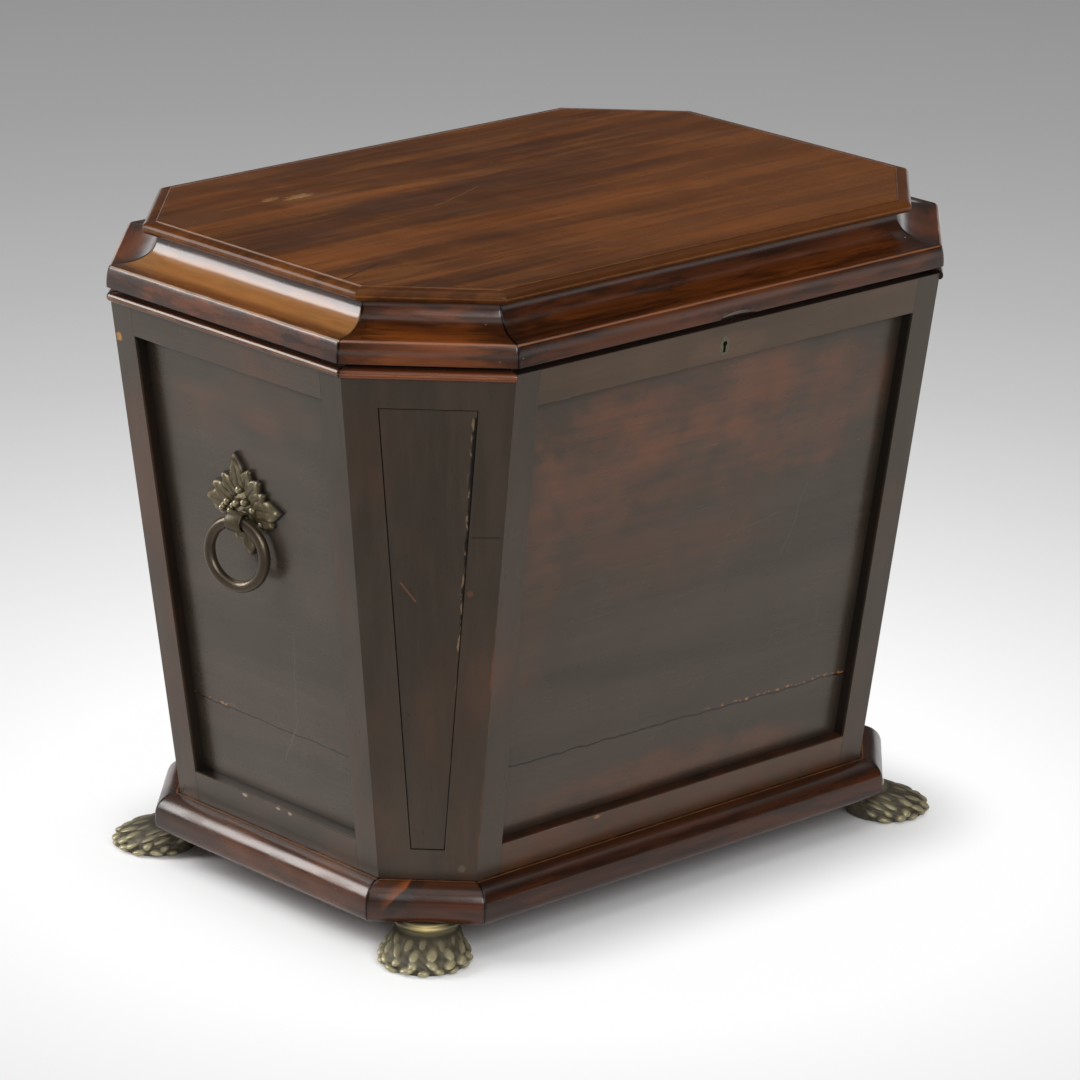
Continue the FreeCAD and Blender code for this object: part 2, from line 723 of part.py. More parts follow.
def lock_screws(clearance=0.0):
    """Screws through the ends of the lock's top plate, down into the front wall."""
    x = LOCK_SCREW_SPREAD / 2
    return [
        screw(Vector(sign * x, LOCK_MIDDLE, SEAT_Z), Vector(0, 0, -1), clearance) for sign in (-1, 1)
    ]


def lock_bolt():
    """Sliding bolt: a bar with two upright posts, each with a finger that enters a loop."""
    low_z = SEAT_Z - LOCK_FLOOR + BOLT_CLEARANCE
    front, back = LOCK_MIDDLE - BOLT_THICK / 2, LOCK_MIDDLE + BOLT_THICK / 2
    tips = [loop_x(middle)[0] - BOLT_STANDOFF for middle in LOOP_MIDDLES]
    roots = [tip - BOLT_FINGER_LENGTH - BOLT_POST for tip in tips]
    bolt = box(Vector(roots[0], front, low_z), Vector(tips[-1], back, low_z + BOLT_BAR))
    for tip, root in zip(tips, roots):
        high_z = FINGER_Z + BOLT_FINGER / 2
        post = box(Vector(root, front, low_z), Vector(root + BOLT_POST, back, high_z))
        finger = box(Vector(root, front, high_z - BOLT_FINGER), Vector(tip, back, high_z))
        bolt = bolt.fuse(post).fuse(finger)
    return bolt.removeSplitter()


def link_plate():
    """Plate on the underside of the lid, with two loops that drop into the lock."""
    plate = box(
        Vector(-LOCK_LENGTH / 2, LOCK_FRONT, SEAT_Z),
        Vector(LOCK_LENGTH / 2, LOCK_BACK, SEAT_Z + LEAF_THICK),
    )
    for middle in LOOP_MIDDLES:
        low_x, high_x = loop_x(middle)
        loop = box(
            Vector(low_x, LOCK_MIDDLE - LOOP_WIDTH / 2, SEAT_Z - LOOP_DROP),
            Vector(high_x, LOCK_MIDDLE + LOOP_WIDTH / 2, SEAT_Z),
        )
        eye = box(
            Vector(low_x - 1, LOCK_MIDDLE - LOOP_EYE_WIDTH / 2, FINGER_Z - LOOP_EYE / 2),
            Vector(high_x + 1, LOCK_MIDDLE + LOOP_EYE_WIDTH / 2, FINGER_Z + LOOP_EYE / 2),
        )
        plate = plate.fuse(loop.cut(eye))
    return cut_all(plate, link_screws(SCREW_FIT)).removeSplitter()


def link_screws(clearance=0.0):
    x = LINK_SCREW_SPREAD / 2
    return [
        screw(Vector(sign * x, LOCK_MIDDLE, SEAT_Z), Vector(0, 0, 1), clearance) for sign in (-1, 1)
    ]


def scutcheon_oval(grow=0.0):
    start, inward = face_frame(FRONT, KEY_SIDE, KEY_HEIGHT - SCUTCHEON_DROP, 0)
    up = run(FRONT).cross(inward)
    if up.z < 0:
        up = up * -1
    oval = Part.Ellipse(
        start + up * (SCUTCHEON_HALF_HEIGHT + grow),
        start + run(FRONT) * (SCUTCHEON_HALF_WIDTH + grow), start,
    )
    return Part.Face(Part.Wire(oval.toShape())).extrude(inward * (SCUTCHEON_THICK + grow))


def keyhole_escutcheon():
    return scutcheon_oval().cut(keyhole(-1, FRAME_THICK))


# ------------------------------------------------------------------ lid
def lid_moulding(side):
    """Fascia, step and cove, worked on one length of the lid's frame."""
    cove_top = LID_HEIGHT - TOP_THICK
    step = FASCIA_HEIGHT + ARRIS_RISE
    edges = [
        ("line", [
            (-COVE_DEPTH, SEAT_Z + cove_top), (-LID_RIM_WIDTH, SEAT_Z + cove_top),
            (-LID_RIM_WIDTH, SEAT_Z), (FASCIA_FLARE, SEAT_Z),
        ]),
        ("arc", [
            (FASCIA_FLARE, SEAT_Z), (FASCIA_BELLY, SEAT_Z + FASCIA_HEIGHT / 2),
            (0, SEAT_Z + FASCIA_HEIGHT),
        ]),
        ("line", [(0, SEAT_Z + FASCIA_HEIGHT), (-ARRIS_STEP, SEAT_Z + step)]),
        ("cove", [
            (-ARRIS_STEP, SEAT_Z + step), (-COVE_DEPTH, SEAT_Z + step),
            (-COVE_DEPTH, SEAT_Z + cove_top),
        ]),
    ]
    return mitred_length(LID, side, edges, -LID_RIM_WIDTH - 1, FASCIA_FLARE + 1, SEAT_Z, SEAT_Z + cove_top)


def finger_scoop():
    """Shallow hollow under the middle of the front fascia, for lifting the lid."""
    radius = (SCOOP_LENGTH ** 2 / 4 + SCOOP_HEIGHT ** 2) / (2 * SCOOP_HEIGHT)
    outer = -(WIDTH / 2 + 2 * FASCIA_FLARE)
    start = Vector(0, outer, SEAT_Z + SCOOP_HEIGHT - radius)
    return rod(start, Vector(0, 1, 0), radius, SCOOP_DEPTH + FASCIA_FLARE)


def top_bar(side):
    """Board as deep as the lid top that ends, along one side, in the top's rounded edge."""
    low, high = TOP_Z - TOP_THICK, TOP_Z
    foot = (-TOP_NOSE - NOSE_TUCK, low + NOSE_FOOT)
    shoulder = (-TOP_NOSE - SHOULDER_SET, low + NOSE_SHOULDER)
    quirk = (-TOP_EDGE, high - QUIRK)
    crown = ((shoulder[0] + quirk[0]) / 2, (shoulder[1] + quirk[1]) / 2 + CROWN_BULGE)
    edges = [
        ("line", [
            quirk, (-TOP_EDGE, high), (-2 * FAR, high), (-2 * FAR, low), (-COVE_DEPTH, low), foot,
        ]),
        ("arc", [foot, (-TOP_NOSE, low + NOSE_LEVEL), shoulder]),
        ("arc", [shoulder, crown, quirk]),
    ]
    face = profile_face(side, LID[side], edges)
    face.translate(run(side) * -FAR)
    return face.extrude(run(side) * 2 * FAR)


def lid_top():
    """Flat top board: all that its eight edge bars share, so that the edge mitres itself."""
    board = top_bar(FRONT)
    for side in range(FRONT_RIGHT, FRONT_LEFT + 1):
        board = board.common(top_bar(side))
    return board.removeSplitter()


# ------------------------------------------------------------------ the whole object
def case_nodes():
    nodes = {}
    mortise = lock_body(LOCK_BACK + PANEL_THICK)
    lock_cuts = [mortise, keyhole(-1, WALL)] + lock_screws(SCREW_FIT)
    for side in LONG_SIDES:
        name = SIDE_NAMES[side]
        panel = wall_board(side, FRAME_THICK, WALL, CASE_Z, SEAT_Z)
        rails = [bottom_rail(side), top_rail(side)]
        if side == FRONT:
            panel = cut_all(panel, lock_cuts)
            rails[1] = cut_all(rails[1], lock_cuts + [scutcheon_oval(SCREW_FIT)])
        if side == BACK:
            for middle in HINGE_MIDDLES:
                cuts = [leaf_plate(middle, False)] + leaf_screws(middle, False, SCREW_FIT)
                panel = cut_all(panel, cuts)
        if side in (LEFT, RIGHT):
            panel = cut_all(panel, [post_hole(side), handle_nut(side, SCREW_FIT)])
        nodes[name + "_panel"] = [panel]
        nodes[name + "_rails"] = rails
        nodes[name + "_stiles"] = [stile(side, -1), stile(side, 1)]
        base = base_length(side)
        nodes["base_moulding_" + name] = [base]
        if side != FRONT:
            nodes["rim_bead_" + name] = [bead_length(side)]
    for side in CORNERS:
        nodes["corner_board_" + SIDE_NAMES[side]] = [corner_board(side)]
    nodes["corner_inlays"] = [corner_inlay(side) for side in CORNERS]
    nodes["rim_bead_corners"] = [bead_length(side) for side in CORNERS]
    nodes["base_moulding_corners"] = [
        base_length(side).cut(foot_screw(side, SCREW_FIT)) for side in CORNERS
    ]
    nodes["case_bottom"] = [inner_slab(WALL, CASE_Z, FLOOR_Z)]
    return nodes


def inside_nodes():
    return {
        "liner_walls": [liner_wall(side) for side in range(8)],
        "liner_floor": [inner_slab(LINED, FLOOR_Z, DIVIDER_Z)],
        "long_dividers": [long_divider(line) for line in ROW_LINES],
        "cross_dividers": [cross_divider(line) for line in COLUMN_LINES],
    }


def fitting_nodes():
    nodes = {"foot_screws": [foot_screw(side) for side in CORNERS]}
    for side in CORNERS:
        nodes["paw_foot_" + SIDE_NAMES[side]] = [paw_foot(side)]
    for side in (LEFT, RIGHT):
        nodes["handle_plate_" + SIDE_NAMES[side]] = [handle_plate(side)]
        nodes["handle_post_" + SIDE_NAMES[side]] = [handle_post(side)]
        nodes["handle_ring_" + SIDE_NAMES[side]] = [handle_ring(side)]
    nodes["handle_nuts"] = [
        handle_nut(side).cut(post_hole(side)) for side in (LEFT, RIGHT)
    ]
    case_screws = lock_screws()
    lid_screws = link_screws()
    for name, middle in zip(("left", "right"), HINGE_MIDDLES):
        nodes["hinge_leaf_case_" + name] = [hinge_leaf(middle, False)]
        nodes["hinge_leaf_lid_" + name] = [hinge_leaf(middle, True)]
        case_screws += leaf_screws(middle, False)
        lid_screws += leaf_screws(middle, True)
    nodes["hinge_pins"] = [hinge_pin(middle) for middle in HINGE_MIDDLES]
    nodes["lock_case"] = [lock_case()]
    nodes["lock_bolt"] = [lock_bolt()]
    nodes["lock_link_plate"] = [link_plate()]
    nodes["keyhole_escutcheon"] = [keyhole_escutcheon()]
    nodes["case_screws"] = case_screws
    nodes["lid_screws"] = lid_screws
    return nodes


def lid_nodes():
    nodes = {"lid_top": [lid_top()]}
    front_cuts = [finger_scoop(), link_plate()] + link_screws(SCREW_FIT)
    back_cuts = []
    for middle in HINGE_MIDDLES:
        back_cuts += [leaf_plate(middle, True), knuckle_room(middle)] + leaf_screws(middle, True, SCREW_FIT)
    for side in LONG_SIDES:
        moulding = lid_moulding(side)
        if side == FRONT:
            moulding = cut_all(moulding, front_cuts)
        if side == BACK:
            moulding = cut_all(moulding, back_cuts)
        nodes["lid_moulding_" + SIDE_NAMES[side]] = [moulding]
    nodes["lid_moulding_corners"] = [lid_moulding(side) for side in CORNERS]
    return nodes


def main():
    os.makedirs("parts", exist_ok=True)
    nodes = {**case_nodes(), **inside_nodes(), **fitting_nodes(), **lid_nodes()}
    for name, shapes in nodes.items():
        solids = [solid for shape in shapes for solid in shape.Solids]
        whole = solids[0] if len(solids) == 1 else Part.makeCompound(solids)
        whole.exportStep("parts/%s.step" % name)
        print("%-28s %2d solids  %9.1f cm3  valid %s" % (
            name, len(solids), sum(solid.Volume for solid in solids) / 1000, whole.isValid()))
    print("nodes", len(nodes))


main()
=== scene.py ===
# %% [markdown]
# # A mahogany wine chest on brass paws
# The chest is a tapering box with canted corners. A hinged lid with a deep moulded frame covers it, a
# ring hangs on each end, and four cast paws carry it. Its joints and sizes come from the fixed frame,
# so this lesson only adds what the eye wants: worn arrises, figured wood, cast brass and soft light.

# %% The fixed frame
import math

import bmesh
import bpy
import numpy as np
from mathutils import Matrix, Vector


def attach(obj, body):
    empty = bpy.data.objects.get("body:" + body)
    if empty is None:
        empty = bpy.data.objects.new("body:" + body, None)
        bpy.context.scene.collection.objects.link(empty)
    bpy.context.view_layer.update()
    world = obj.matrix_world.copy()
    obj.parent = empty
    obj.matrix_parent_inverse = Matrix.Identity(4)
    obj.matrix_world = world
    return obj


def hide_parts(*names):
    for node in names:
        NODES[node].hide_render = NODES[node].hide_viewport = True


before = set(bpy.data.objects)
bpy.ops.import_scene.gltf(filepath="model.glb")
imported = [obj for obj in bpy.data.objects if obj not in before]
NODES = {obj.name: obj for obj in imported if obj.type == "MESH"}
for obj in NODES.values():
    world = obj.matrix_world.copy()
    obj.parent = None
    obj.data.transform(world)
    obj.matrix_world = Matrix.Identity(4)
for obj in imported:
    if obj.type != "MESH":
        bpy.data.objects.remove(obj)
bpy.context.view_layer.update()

MM = 0.001
FULL_TURN = 2 * math.pi


def added(name, data):
    """A new object in the scene, unturned and at the origin."""
    made = bpy.data.objects.new(name, data)
    bpy.context.scene.collection.objects.link(made)
    return made


# %% [markdown]
# ## Camera
# The chest is seen from its front left corner, a little from above, through a long lens, so that the
# leaning sides stay nearly straight. A camera is three axes and a place: the axis that points back to
# the lens comes from the two viewing angles, and the other two are turned about it by the small roll.

# %% Camera
AZIMUTH, ELEVATION, ROLL = (math.radians(angle) for angle in (-42.7424, 18.0759, 0.9151))
DISTANCE = 4.54486
TARGET = Vector((0.00534, -0.00761, 0.25494))

back = Vector((
    math.sin(AZIMUTH) * math.cos(ELEVATION), -math.cos(AZIMUTH) * math.cos(ELEVATION), math.sin(ELEVATION)
))
level = (-back).cross(Vector((0, 0, 1))).normalized()
upright = level.cross(-back)
across = level * math.cos(ROLL) + upright * math.sin(ROLL)
upwards = upright * math.cos(ROLL) - level * math.sin(ROLL)

camera = added("camera", bpy.data.cameras.new("camera"))
camera.data.sensor_width = 36.0
camera.data.lens = 182.08
camera.data.clip_end = 60.0
turned = Matrix((across, upwards, back)).transposed().to_4x4()
camera.matrix_world = Matrix.Translation(TARGET + back * DISTANCE) @ turned
bpy.context.scene.camera = camera
bpy.context.scene.view_settings.view_transform = "Standard"
print("camera at", tuple(round(c, 3) for c in camera.location))

# %% [markdown]
# ## Shader maths that reads like maths
# A material is a graph of small nodes. Placed one by one they say little about what they work out, so
# two small classes write them instead. A `Value` is one output socket, and sums, products and limits
# of values add the Math nodes themselves.

# %% Values
def paint(tone):
    """Colour as a screen shows it, 0 to 255, turned into the light that it stands for."""
    shares = np.array(tone) / 255
    light = np.where(shares <= 0.04045, shares / 12.92, ((shares + 0.055) / 1.055) ** 2.4)
    return (*light.tolist(), 1.0)


def maths(operation, swapped=False, clamp=False):
    """A method that adds one Math node, its operands swapped if the number stands on the left."""
    def method(value, *others):
        operands = (*others, value) if swapped else (value, *others)
        settings = {"operation": operation, "use_clamp": clamp}
        return value.finish.node("ShaderNodeMath", settings, dict(enumerate(operands)))
    return method


class Value:
    """One output of a node. Arithmetic on it adds Math nodes; a plain number may stand on either side."""

    def __init__(self, finish, socket):
        self.finish = finish
        self.socket = socket

    __add__ = __radd__ = maths("ADD")
    __mul__ = __rmul__ = maths("MULTIPLY")
    __sub__, __rsub__ = maths("SUBTRACT"), maths("SUBTRACT", swapped=True)
    __truediv__, __abs__ = maths("DIVIDE"), maths("ABSOLUTE")
    least, most, root = maths("MINIMUM"), maths("MAXIMUM"), maths("SQRT")

    def limited(self):
        """The same number, kept between 0 and 1."""
        return maths("ADD", clamp=True)(self, 0.0)

    def rise(self, low, high):
        """0 below low, 1 above high, and a smooth step between them."""
        settings = {"interpolation_type": "SMOOTHSTEP"}
        return self.finish.node("ShaderNodeMapRange", settings, {0: self, 1: low, 2: high})

    def fall(self, low, high):
        return 1 - self.rise(low, high)


print("mid grey as light", round(paint((128, 128, 128))[0], 3))

# %% [markdown]
# ## One tree for each finish
# A `Finish` holds one node tree and short ways to fill it. Its noise is solid, fixed to the chest or
# to a grain that the mesh carries, so no picture has to be wrapped round a shape. A finish also keeps
# the colour, roughness and height so far, and each mark is one thin coat more, as age lays it on.

# %% Finishes
class Finish:
    """One node tree, of a material or of the room around the chest, and short ways to fill it."""

    def __init__(self, name, kind=bpy.data.materials):
        self.holder = kind.new(name)
        self.holder.use_nodes = True
        self.tree = self.holder.node_tree
        self.tree.nodes.clear()

    def node(self, kind, settings=None, inputs=None, output=0):
        """Adds a node: its settings first, then its sockets, each a number, a tuple or a Value."""
        made = self.tree.nodes.new(kind)
        for name, setting in (settings or {}).items():
            setattr(made, name, setting)
        for key, entry in (inputs or {}).items():
            if isinstance(entry, Value):
                self.tree.links.new(entry.socket, made.inputs[key])
            else:
                made.inputs[key].default_value = entry
        return Value(self, made.outputs[output]) if output is not None else None

    def place(self):
        """Where a point of the object is, in metres."""
        return self.node("ShaderNodeTexCoord", output="Object")

    def carried(self, name, output="Fac"):
        """A number or a vector that the piece's own mesh carries."""
        settings = {"attribute_name": name, "attribute_type": "GEOMETRY"}
        return self.node("ShaderNodeAttribute", settings, output=output)

    def parts(self, vector=None):
        """The three numbers of a vector, or else of the place."""
        vector = vector or self.place()
        return [self.node("ShaderNodeSeparateXYZ", inputs={0: vector}, output=axis) for axis in range(3)]

    def noise(self, vector, sizes, detail=3.0, rough=0.55, warp=0.0, shift=(0, 0, 0)):
        """Cloudy noise from 0 to 1, its clouds as long as one or three sizes say, in metres."""
        scaled = self.node("ShaderNodeMapping", inputs={
            "Vector": vector, "Scale": tuple((1 / np.broadcast_to(sizes, 3)).tolist()), "Location": shift,
        })
        return self.node("ShaderNodeTexNoise", inputs={
            "Vector": scaled, "Scale": 1.0, "Detail": detail, "Roughness": rough, "Distortion": warp,
        })

    def clouds(self, sizes, *style, **shifted):
        """The same noise, fixed to the chest's own place."""
        return self.noise(self.place(), sizes, *style, **shifted)

    def mix(self, share, first, second):
        """Colour that goes from first to second with share."""
        settings = {"data_type": "RGBA", "clamp_factor": True}
        return self.node("ShaderNodeMix", settings, {0: share, 6: first, 7: second}, output=2)

    def coat(self, share, tone):
        """Lays a tone, as a screen shows it, over the colour that the finish has so far."""
        self.colour = self.mix(share, self.colour, paint(tone))

    def bump(self, height, depth, below=None):
        """Surface slope from a height between 0 and 1, as deep as depth in metres."""
        inputs = {"Height": height, "Distance": depth, "Strength": 1.0}
        if below:
            inputs["Normal"] = below
        return self.node("ShaderNodeBump", inputs=inputs)

    def principled(self, inputs):
        return self.node("ShaderNodeBsdfPrincipled", inputs=inputs)

    def close(self, shader, output="ShaderNodeOutputMaterial"):
        """Ends the tree with one shader and hands over what owns it."""
        self.node(output, inputs={"Surface": shader}, output=None)
        return self.holder


def dress(made, *finishes):
    """Gives an object these finishes and no others."""
    made.data.materials.clear()
    for finish in finishes:
        made.data.materials.append(finish)


print("ways to fill a tree:", ", ".join(name for name in vars(Finish) if name[0] != "_"))

# %% [markdown]
# ## Light
# Polished wood shows its lamps as streaks, so where they stand matters more than how bright they are.
# A soft window stands behind the chest's left end and draws the long light along the hollow moulding
# there, and a large weak one beside the camera opens the shadows. Each is given by the light that it
# brings to the middle of the chest, because power says little alone: an area lamp of power P facing a
# point d away brings P / (pi d^2). The room is pale overhead and at eye level and dim in between,
# where the flat of the lid looks, so that the lid keeps its depth while its far edges catch light.
# The lens sees one plain grey instead, the tone that the far floor ends in.

# %% Lamps and room
MIDDLE = Vector((0, 0, 0.3))
FAR_GREY = 0.25                # what the lens sees past the floor: the floor's own far tone
ROOM_DIM, ROOM_LEVEL, ROOM_TOP = 0.06, 0.9, 0.95    # light of the room, and what eye level and top add


def softbox(name, towards, distance, width, height, brings):
    """Area lamp that faces the chest's middle; its power is brings * pi * distance^2."""
    lamp = bpy.data.lights.new(name, "AREA")
    lamp.shape, lamp.size, lamp.size_y = "RECTANGLE", width, height
    lamp.energy = brings * math.pi * distance ** 2
    holder = added(name, lamp)
    direction = Vector(towards).normalized()
    holder.location = MIDDLE + direction * distance
    holder.rotation_euler = direction.to_track_quat("Z", "Y").to_euler()
    print(name, "power", round(lamp.energy, 1))
    return holder


softbox("window_behind_left", (-0.58, 0.64, 0.42), 3.0, 1.3, 1.7, 2.2)
softbox("fill_by_camera", (-0.40, -0.80, 0.50), 4.0, 2.4, 2.0, 1.5)

room = Finish("room", bpy.data.worlds)
east, north, height = room.parts(room.node("ShaderNodeTexCoord", output="Generated"))
behind = (east * 0.2 + north * 0.98).rise(0.80, 0.97)
eye_level = height.rise(-0.16, -0.04) * height.fall(0.0, 0.10).most(behind * height.fall(0.08, 0.17))
overhead = height.rise(0.60, 0.94)
lens = room.node("ShaderNodeLightPath", output="Is Camera Ray")
shade = lens * FAR_GREY + (1 - lens) * (eye_level * ROOM_LEVEL + overhead * ROOM_TOP + ROOM_DIM)
glow = room.node("ShaderNodeBackground", inputs={"Color": shade, "Strength": 1.0})
bpy.context.scene.world = room.close(glow, "ShaderNodeOutputWorld")

# %% [markdown]
# ## Old polished wood
# The chest is mahogany under a century and more of shellac and wax. Close to, the wood shows broad
# light and dark bands, finer streaks and short open pores, all drawn out along the grain. Solid noise
# does that: it is stretched along one axis of the board, so a board's face, edge and end agree, as
# they do in real timber. Age then darkens the corners, rubs the arrises pale and scratches the flats.

# %% Wood helpers
def lengths(axis, along, across):
    """Cloud sizes of a noise, long on the grain's axis."""
    return tuple(along if k == axis else across for k in range(3))


def timber(finish, place, axis, tones, seed, bands, pores):
    """Lays broad clouds, fine streaks and short dark pores; hands over the streaks and the height."""
    dark, middle, light = tones
    shift = (seed * 1.7, seed * 2.3, seed * 3.1)
    broad = finish.noise(place, lengths(axis, 0.40, 0.05), 2.0, warp=0.5, shift=shift)
    streak = finish.noise(place, lengths(axis, 0.22, 0.007), 4.0, 0.6, shift=shift)
    pore = finish.noise(place, lengths(axis, 0.012, 0.0008), 2.0, shift=shift)
    finish.colour = finish.mix(broad.rise(0.30, 0.70), paint(dark), paint(middle))
    finish.coat(streak.rise(0.40, 0.85) * (0.7 * bands), light)
    finish.coat(streak.fall(0.20, 0.52) * (0.5 * bands), dark)
    hollow = pore.rise(0.55, 0.70)
    shadow = (*(0.3 * part for part in paint(dark)[:3]), 1.0)
    finish.colour = finish.mix(hollow * (0.45 * pores), finish.colour, shadow)
    return streak, 1 - hollow


def line_mark(x, y, start, end, width, stray=0.0):
    """1 on the line from start to end and 0 a width away, where stray bends it."""
    span = math.hypot(end[0] - start[0], end[1] - start[1])
    ux, uy = (end[0] - start[0]) / span, (end[1] - start[1]) / span
    ahead = (x - start[0]) * ux + (y - start[1]) * uy
    aside = abs((y - start[1]) * ux - (x - start[0]) * uy + stray)
    past = (ahead - span).most(ahead * -1).most(0.0)
    return (aside + past).fall(width * 0.4, width)


def blot(x, y, centre, reach, ragged):
    """1 at a centre, 0 beyond an ellipse of two reaches, with an edge that ragged moves in and out."""
    u, v = (x - centre[0]) / reach[0], (y - centre[1]) / reach[1]
    return (u * u + v * v + ragged).fall(0.15, 1.0)


def daub(finish, x, y, ragged, within, *rows):
    """Lays blots over a finish; each row is a centre, the two reaches, a share and a tone."""
    for centre, reach, share, tone in rows:
        finish.coat(blot(x, y, centre, reach, ragged) * within * share, tone)


AMBER = (1.0, 0.90, 0.80, 1.0)   # old shellac warms what it reflects
PORE_DEPTH = 0.012 * MM


def wood(
    name, axis, tones, seed, rough=0.3, bands=0.5, pores=1.0, marks=None, carried=None, shine=0.5, tint=AMBER
):
    """A wooden finish. marks may change its colour, roughness and height; shine is how strongly it reflects."""
    finish = Finish(name)
    place = finish.carried(carried, "Vector") if carried else finish.place()
    streak, finish.height = timber(finish, place, axis, tones, seed, bands, pores)
    stain = finish.clouds(0.14, shift=(seed, 0, seed))
    finish.coat(stain.rise(0.5, 0.72) * 0.35, tones[0])
    haze = finish.clouds(0.09, shift=(0, seed, 2 * seed))
    finish.rough = haze.rise(0.30, 0.72) * 0.07 + streak * 0.04 + (rough - 0.05)
    if marks:
        marks(finish)
    sway = finish.clouds(0.07, 1.0, shift=(seed, seed, 0))
    normal = finish.bump(finish.height * pores, PORE_DEPTH, finish.bump(sway, 1 * MM))
    shader = finish.principled({
        "Base Color": finish.colour, "Roughness": finish.rough, "Normal": normal, "IOR": 1.5,
        "Specular Tint": tint, "Specular IOR Level": shine,
    })
    return finish.close(shader)


print("cloud sizes of upright streaks", lengths(2, 0.22, 0.007))

# %% [markdown]
# ## Shapes from formulas
# The mouldings are planed to one section and mitred round an eight-sided plan, so each is a closed
# outline carried along one side of the octagon. A point of the outline lies a given offset outside
# that side, and the mitre's plane bisects the corner, so both ends of its path follow from the
# offset: the reach towards a corner grows by offset * tan(22.5 degrees). Everything is worked out as
# whole arrays, one row for each station along the side.

# %% The plan
TURN = math.pi / 4
HALF_ROOT = 0.7071             # half the root of two, as the marks were placed with
FRONT, FRONT_RIGHT, RIGHT, BACK_RIGHT, BACK, BACK_LEFT, LEFT, FRONT_LEFT = range(8)
SIDE_NAMES = ["front", "front_right", "right", "back_right", "back", "back_left", "left", "front_left"]
WIDE_SIDES = [FRONT, RIGHT, BACK, LEFT]
CORNER_SIDES = [FRONT_RIGHT, BACK_RIGHT, BACK_LEFT, FRONT_LEFT]
ANGLES = np.arange(8) * TURN - math.pi / 2
NORMALS = np.stack([np.cos(ANGLES), np.sin(ANGLES), np.zeros(8)], 1)
RUNS = np.stack([-NORMALS[:, 1], NORMALS[:, 0], np.zeros(8)], 1)
UPWARDS = np.array([0, 0, 1.0])


def octagon(length, width, corner):
    """Distance of each side from the middle, for a box whose corners are cut by legs of one length."""
    a, b = length / 2, width / 2
    c = (a + b - corner) / math.sqrt(2)
    return np.array([b, c, a, c, b, c, a, c]) * MM


LID = octagon(660.0, 476.0, 96.7)
RIM = octagon(656.0, 472.0, 95.0)
PLINTH = octagon(544.8, 360.8, 55.0)
WALL_FOOT = 60 * MM            # level at which the leaning walls start
WALL_SLOPE = 0.03645           # how fast the frame's openings widen with height
WALL_LEAN, CORNER_LEAN = 0.1299, 0.1176    # how far the walls and the corner boards lean out, per height
RECESS_LOW, RECESS_HIGH = 86 * MM, 464 * MM
FRONT_OPENING, END_OPENING = 192.4 * MM, 100.4 * MM


def meet(distances, side, end):
    """Coordinate along a side where it meets its neighbour at end -1 or +1."""
    return end * (distances[(side + end) % 8] - distances[side] * math.cos(TURN)) / math.sin(TURN)


def wave(along, seed):
    """Slow unevenness from -1 to 1: three sines whose lengths share no beat."""
    return (np.sin(along * 41 + seed) + np.sin(along * 97 + 2.3 * seed) + np.sin(along * 223 + 5.1 * seed)) / 3


print("lid", (LID / MM).round(1), "rim", (RIM / MM).round(1), "plinth", (PLINTH / MM).round(1))

# %% [markdown]
# ## Three sections
# A moulding is known by its outline. The lid's is a tall fascia under a deep hollow, the base's a
# square foot with a quarter round on it, and the bead's a half round. Each is written down as corners
# with small radii and short runs of curve points, in millimetres, so that its sizes can be read.

# %% Sections
def pulled(start, pull, end, t):
    """Quadratic curve at t: (1 - t)^2 start + 2 t (1 - t) pull + t^2 end."""
    return (1 - t) ** 2 * start + 2 * t * (1 - t) * pull + t ** 2 * end


def bend(start, pull, end, count):
    """Points of the curve from start to end that a pull point draws towards itself."""
    return pulled(np.array(start), np.array(pull), np.array(end), np.linspace(0, 1, count)[:, None])


def through(start, middle, end, count):
    """The same, but through a middle point."""
    return bend(start, 2 * np.array(middle) - (np.array(start) + np.array(end)) / 2, end, count)


def circle(count):
    """Angles once round, the last one left out because it is the first again."""
    return np.linspace(0, FULL_TURN, count, endpoint=False)


def quarter(centre, reach, start, end, count):
    """Part of an ellipse between two angles in degrees."""
    angle = np.radians(np.linspace(start, end, count))
    return np.stack([centre[0] + reach[0] * np.cos(angle), centre[1] + reach[1] * np.sin(angle)], 1)


def cornered(corners, radii, t):
    """Each corner as a curve between two tangent points a radius away from it, and those points."""
    before, after = np.roll(corners, 1, 0) - corners, np.roll(corners, -1, 0) - corners
    spans = (np.linalg.norm(v, axis=1)[:, None] for v in (before, after))
    start, end = (
        corners + v / span * np.minimum(radii, 0.45 * span) for v, span in zip((before, after), spans)
    )
    return pulled(start[:, None], corners[:, None], end[:, None], t[None, :, None]), start, end


def eased(points, radii):
    """Closed outline with its corners rounded, without points that nearly fall together."""
    flat = cornered(points, radii[:, None], np.linspace(0, 1, 5))[0].reshape(-1, 2)
    return flat[np.linalg.norm(flat - np.roll(flat, 1, 0), axis=1) > 0.02]


def section(*parts):
    """Outline in millimetres from parts that are a corner (x, z, radius) or a run of curve points."""
    rows, radii = [], []
    for part in parts:
        part = np.atleast_2d(np.asarray(part, float))
        rows.append(part[:, :2])
        radii.append(part[:, 2] if part.shape[1] == 3 else np.zeros(len(part)))
    return eased(np.concatenate(rows), np.concatenate(radii))


